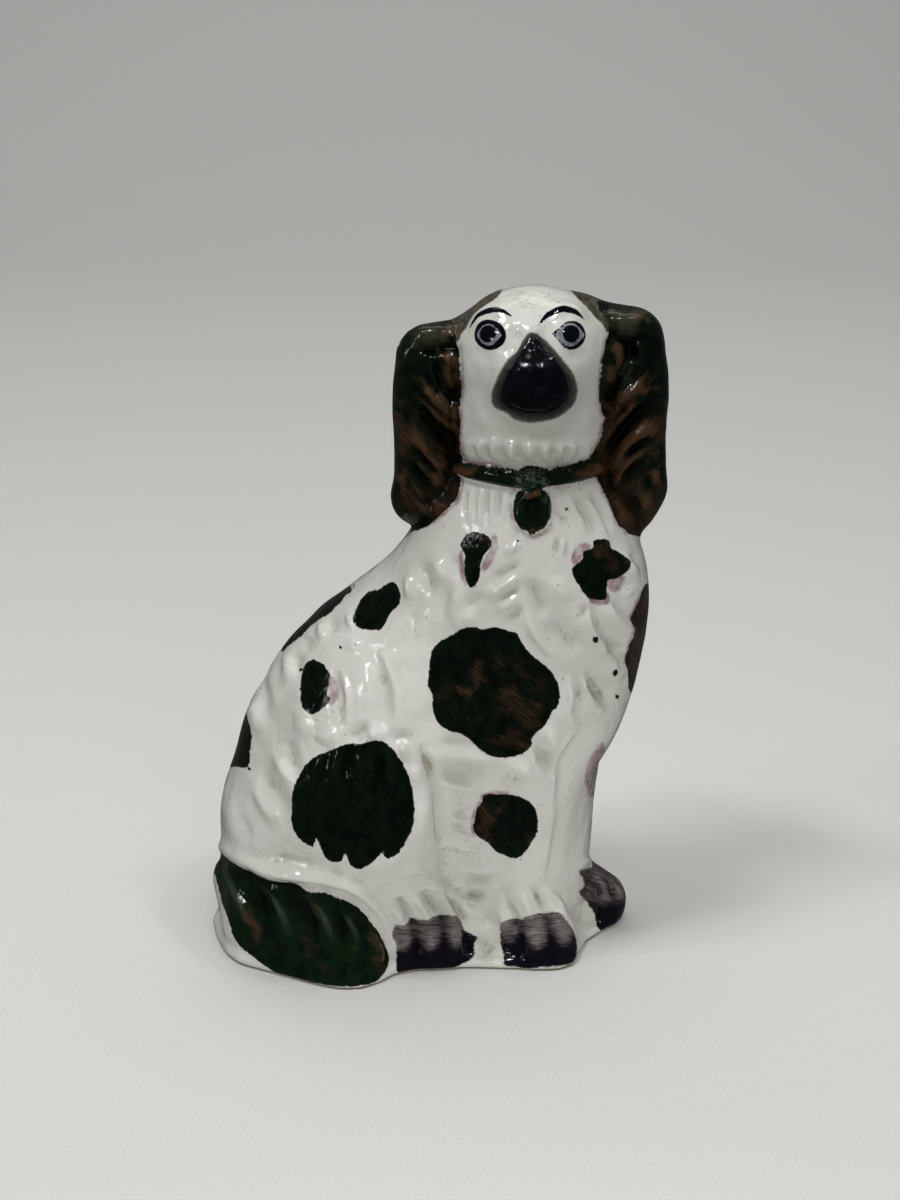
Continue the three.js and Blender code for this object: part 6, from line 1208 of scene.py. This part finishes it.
# strength of the pooled glaze and painted shade in the white's hollows
POOL_AND_SHADE = 0.50
GREEN_A = (0.0010, 0.0032, 0.0012)
GREEN_B = (0.0034, 0.0110, 0.0044)
# BROWN_A is the dark brown of recesses and between streaks; BROWN_B the lighter brown of streaks and of the painted
# crest highlights
BROWN_A = (0.025, 0.0145, 0.0075)
BROWN_B = (0.082, 0.043, 0.021)

glaze = glaze_material("glazed_decorated_earthenware")
clay = clay_material("biscuit_clay")

low_face = (off_z[quads].min(1) < 0) | ((off_z[quads].max(1) <= 0))
behind_face = (off_y[quads].max(1) > 0)
side = np.where(low_face, 2, np.where(behind_face, 1, 0))


def main_island(faces):
    """True for the faces of the largest connected patch."""
    label = np.arange(len(verts))
    while True:
        before = label.copy()
        low = label[faces].min(1)
        for i in range(4):
            np.minimum.at(label, faces[:, i], low)
        label = label[label]
        if (label == before).all():
            break
    of_face = label[faces[:, 0]]
    names, count = np.unique(of_face, return_counts=True)
    return of_face == names[count.argmax()]


# a patch cut off from its own piece goes to the neighbour it touches, from its edge inwards
for _ in range(16):
    handed = 0
    for i in (0, 1, 2):
        mine = np.nonzero(side == i)[0]
        stray = mine[~main_island(quads[mine])]
        for f in stray:
            touch = np.isin(quads, quads[f]).sum(1) >= 2
            touch[stray] = False
            near = side[touch & (side != i)]
            if len(near):
                side[f] = np.bincount(near).argmax()
                handed += 1
    if not handed:
        break
shell_front = add_piece("glazed_front_shell", quads[side == 0], glaze)
shell_back = add_piece("glazed_back_shell", quads[side == 1], glaze)
foot = add_piece("glazed_base_slab", quads[side == 2], glaze)
for o, node, slot in ((shell_front, "front_half", "white_glaze"), (shell_back, "back_half", "white_glaze"), (foot, "base_slab", "biscuit")):
    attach(o, "root")
    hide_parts(node)
for n in ("seam_roll", "base_roll"):
    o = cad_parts[n]
    o.data.materials.clear()
    o.data.materials.append(clay)

# ---------------------------------------------------------------- stage, light, camera
def floor_material():
    k = Nodes("pale_paper")
    pos = k.vec(k.node("ShaderNodeTexCoord").outputs["Object"], MM)
    a = k.noise(pos, 0.9, 4, 0.7)
    k.put(k.bsdf.inputs["Base Color"], k.mix(k.ease(a, 0.3, 0.7), rgb(0.60, 0.597, 0.582), rgb(0.63, 0.627, 0.612)))
    k.bsdf.inputs["Roughness"].default_value = 0.9
    k.bsdf.inputs["Specular IOR Level"].default_value = 0.2
    return k.mat


# a paper sweep: flat floor that curls up well behind the figure
me = bpy.data.meshes.new("floor")
line = [(-7.0, 0.0), (1.1, 0.0)] + [(1.1 + 0.9 * math.sin(a), 0.9 - 0.9 * math.cos(a)) for a in np.linspace(0.05, math.pi / 2, 24)] + [(2.0, 2.6)]
rows = [[(x, y, z) for x in (-6.0, 6.0)] for y, z in line]
me.from_pydata([p for r in rows for p in r], [], [(2 * i, 2 * i + 1, 2 * i + 3, 2 * i + 2) for i in range(len(rows) - 1)])
me.polygons.foreach_set("use_smooth", [True] * len(me.polygons))
floor = bpy.data.objects.new("floor", me)
me.materials.append(floor_material())
bpy.context.scene.collection.objects.link(floor)
floor.visible_glossy = False


def area(name, at, to, size, watts, tint=(1, 1, 1)):
    d = bpy.data.lights.new(name, "AREA")
    d.shape = "RECTANGLE"
    d.size, d.size_y = size
    d.energy = watts
    d.color = tint
    o = bpy.data.objects.new(name, d)
    o.location = at
    o.rotation_euler = (Vector(to) - Vector(at)).to_track_quat("-Z", "Y").to_euler()
    bpy.context.scene.collection.objects.link(o)
    return o


overhead = area("overhead_wide", (0.05, 0.15, 1.5), (0.0, 0.0, 0.0), (2.4, 2.0), 14.0)
overhead.visible_glossy = False
area("key_left", (-0.28, -0.22, 0.95), (0.0, 0.0, 0.1), (0.26, 0.07), 2.6)
area("key_right", (0.36, -0.12, 0.95), (0.0, 0.0, 0.1), (0.10, 0.08), 1.0)
area("left_window", (-1.05, -0.55, 0.75), (0, 0, 0.1), (0.14, 0.40), 1.5)
fill = area("front_fill", (0.25, -1.3, 0.60), (0, 0, 0.05), (0.9, 0.5), 0.5)
fill.visible_glossy = False
low = area("leg_fill", (0.12, -0.50, 0.07), (0.02, 0, 0.02), (0.30, 0.10), 0.13)
low.data.spread = math.radians(60)
low.visible_glossy = False
area("backdrop_light", (0.0, 1.2, 1.9), (0.0, 1.9, 0.2), (2.4, 0.6), 7.0)
world = bpy.data.worlds.new("studio")
world.use_nodes = True
world.node_tree.nodes["Background"].inputs[0].default_value = (0.60, 0.605, 0.60, 1)
world.node_tree.nodes["Background"].inputs[1].default_value = 0.12
bpy.context.scene.world = world

cam_data = bpy.data.cameras.new("camera")
cam_data.lens = 60.0
cam_data.sensor_width = 36.0
cam_data.clip_start, cam_data.clip_end = 0.01, 50
cam = bpy.data.objects.new("camera", cam_data)
cam.location = [c / MM for c in EYE_AT]
cam.rotation_euler = (math.radians(70.0), 0, 0)
bpy.context.scene.collection.objects.link(cam)
bpy.context.scene.camera = cam
bpy.context.scene.view_settings.view_transform = "Standard"
bpy.context.scene.view_settings.look = "Medium High Contrast"
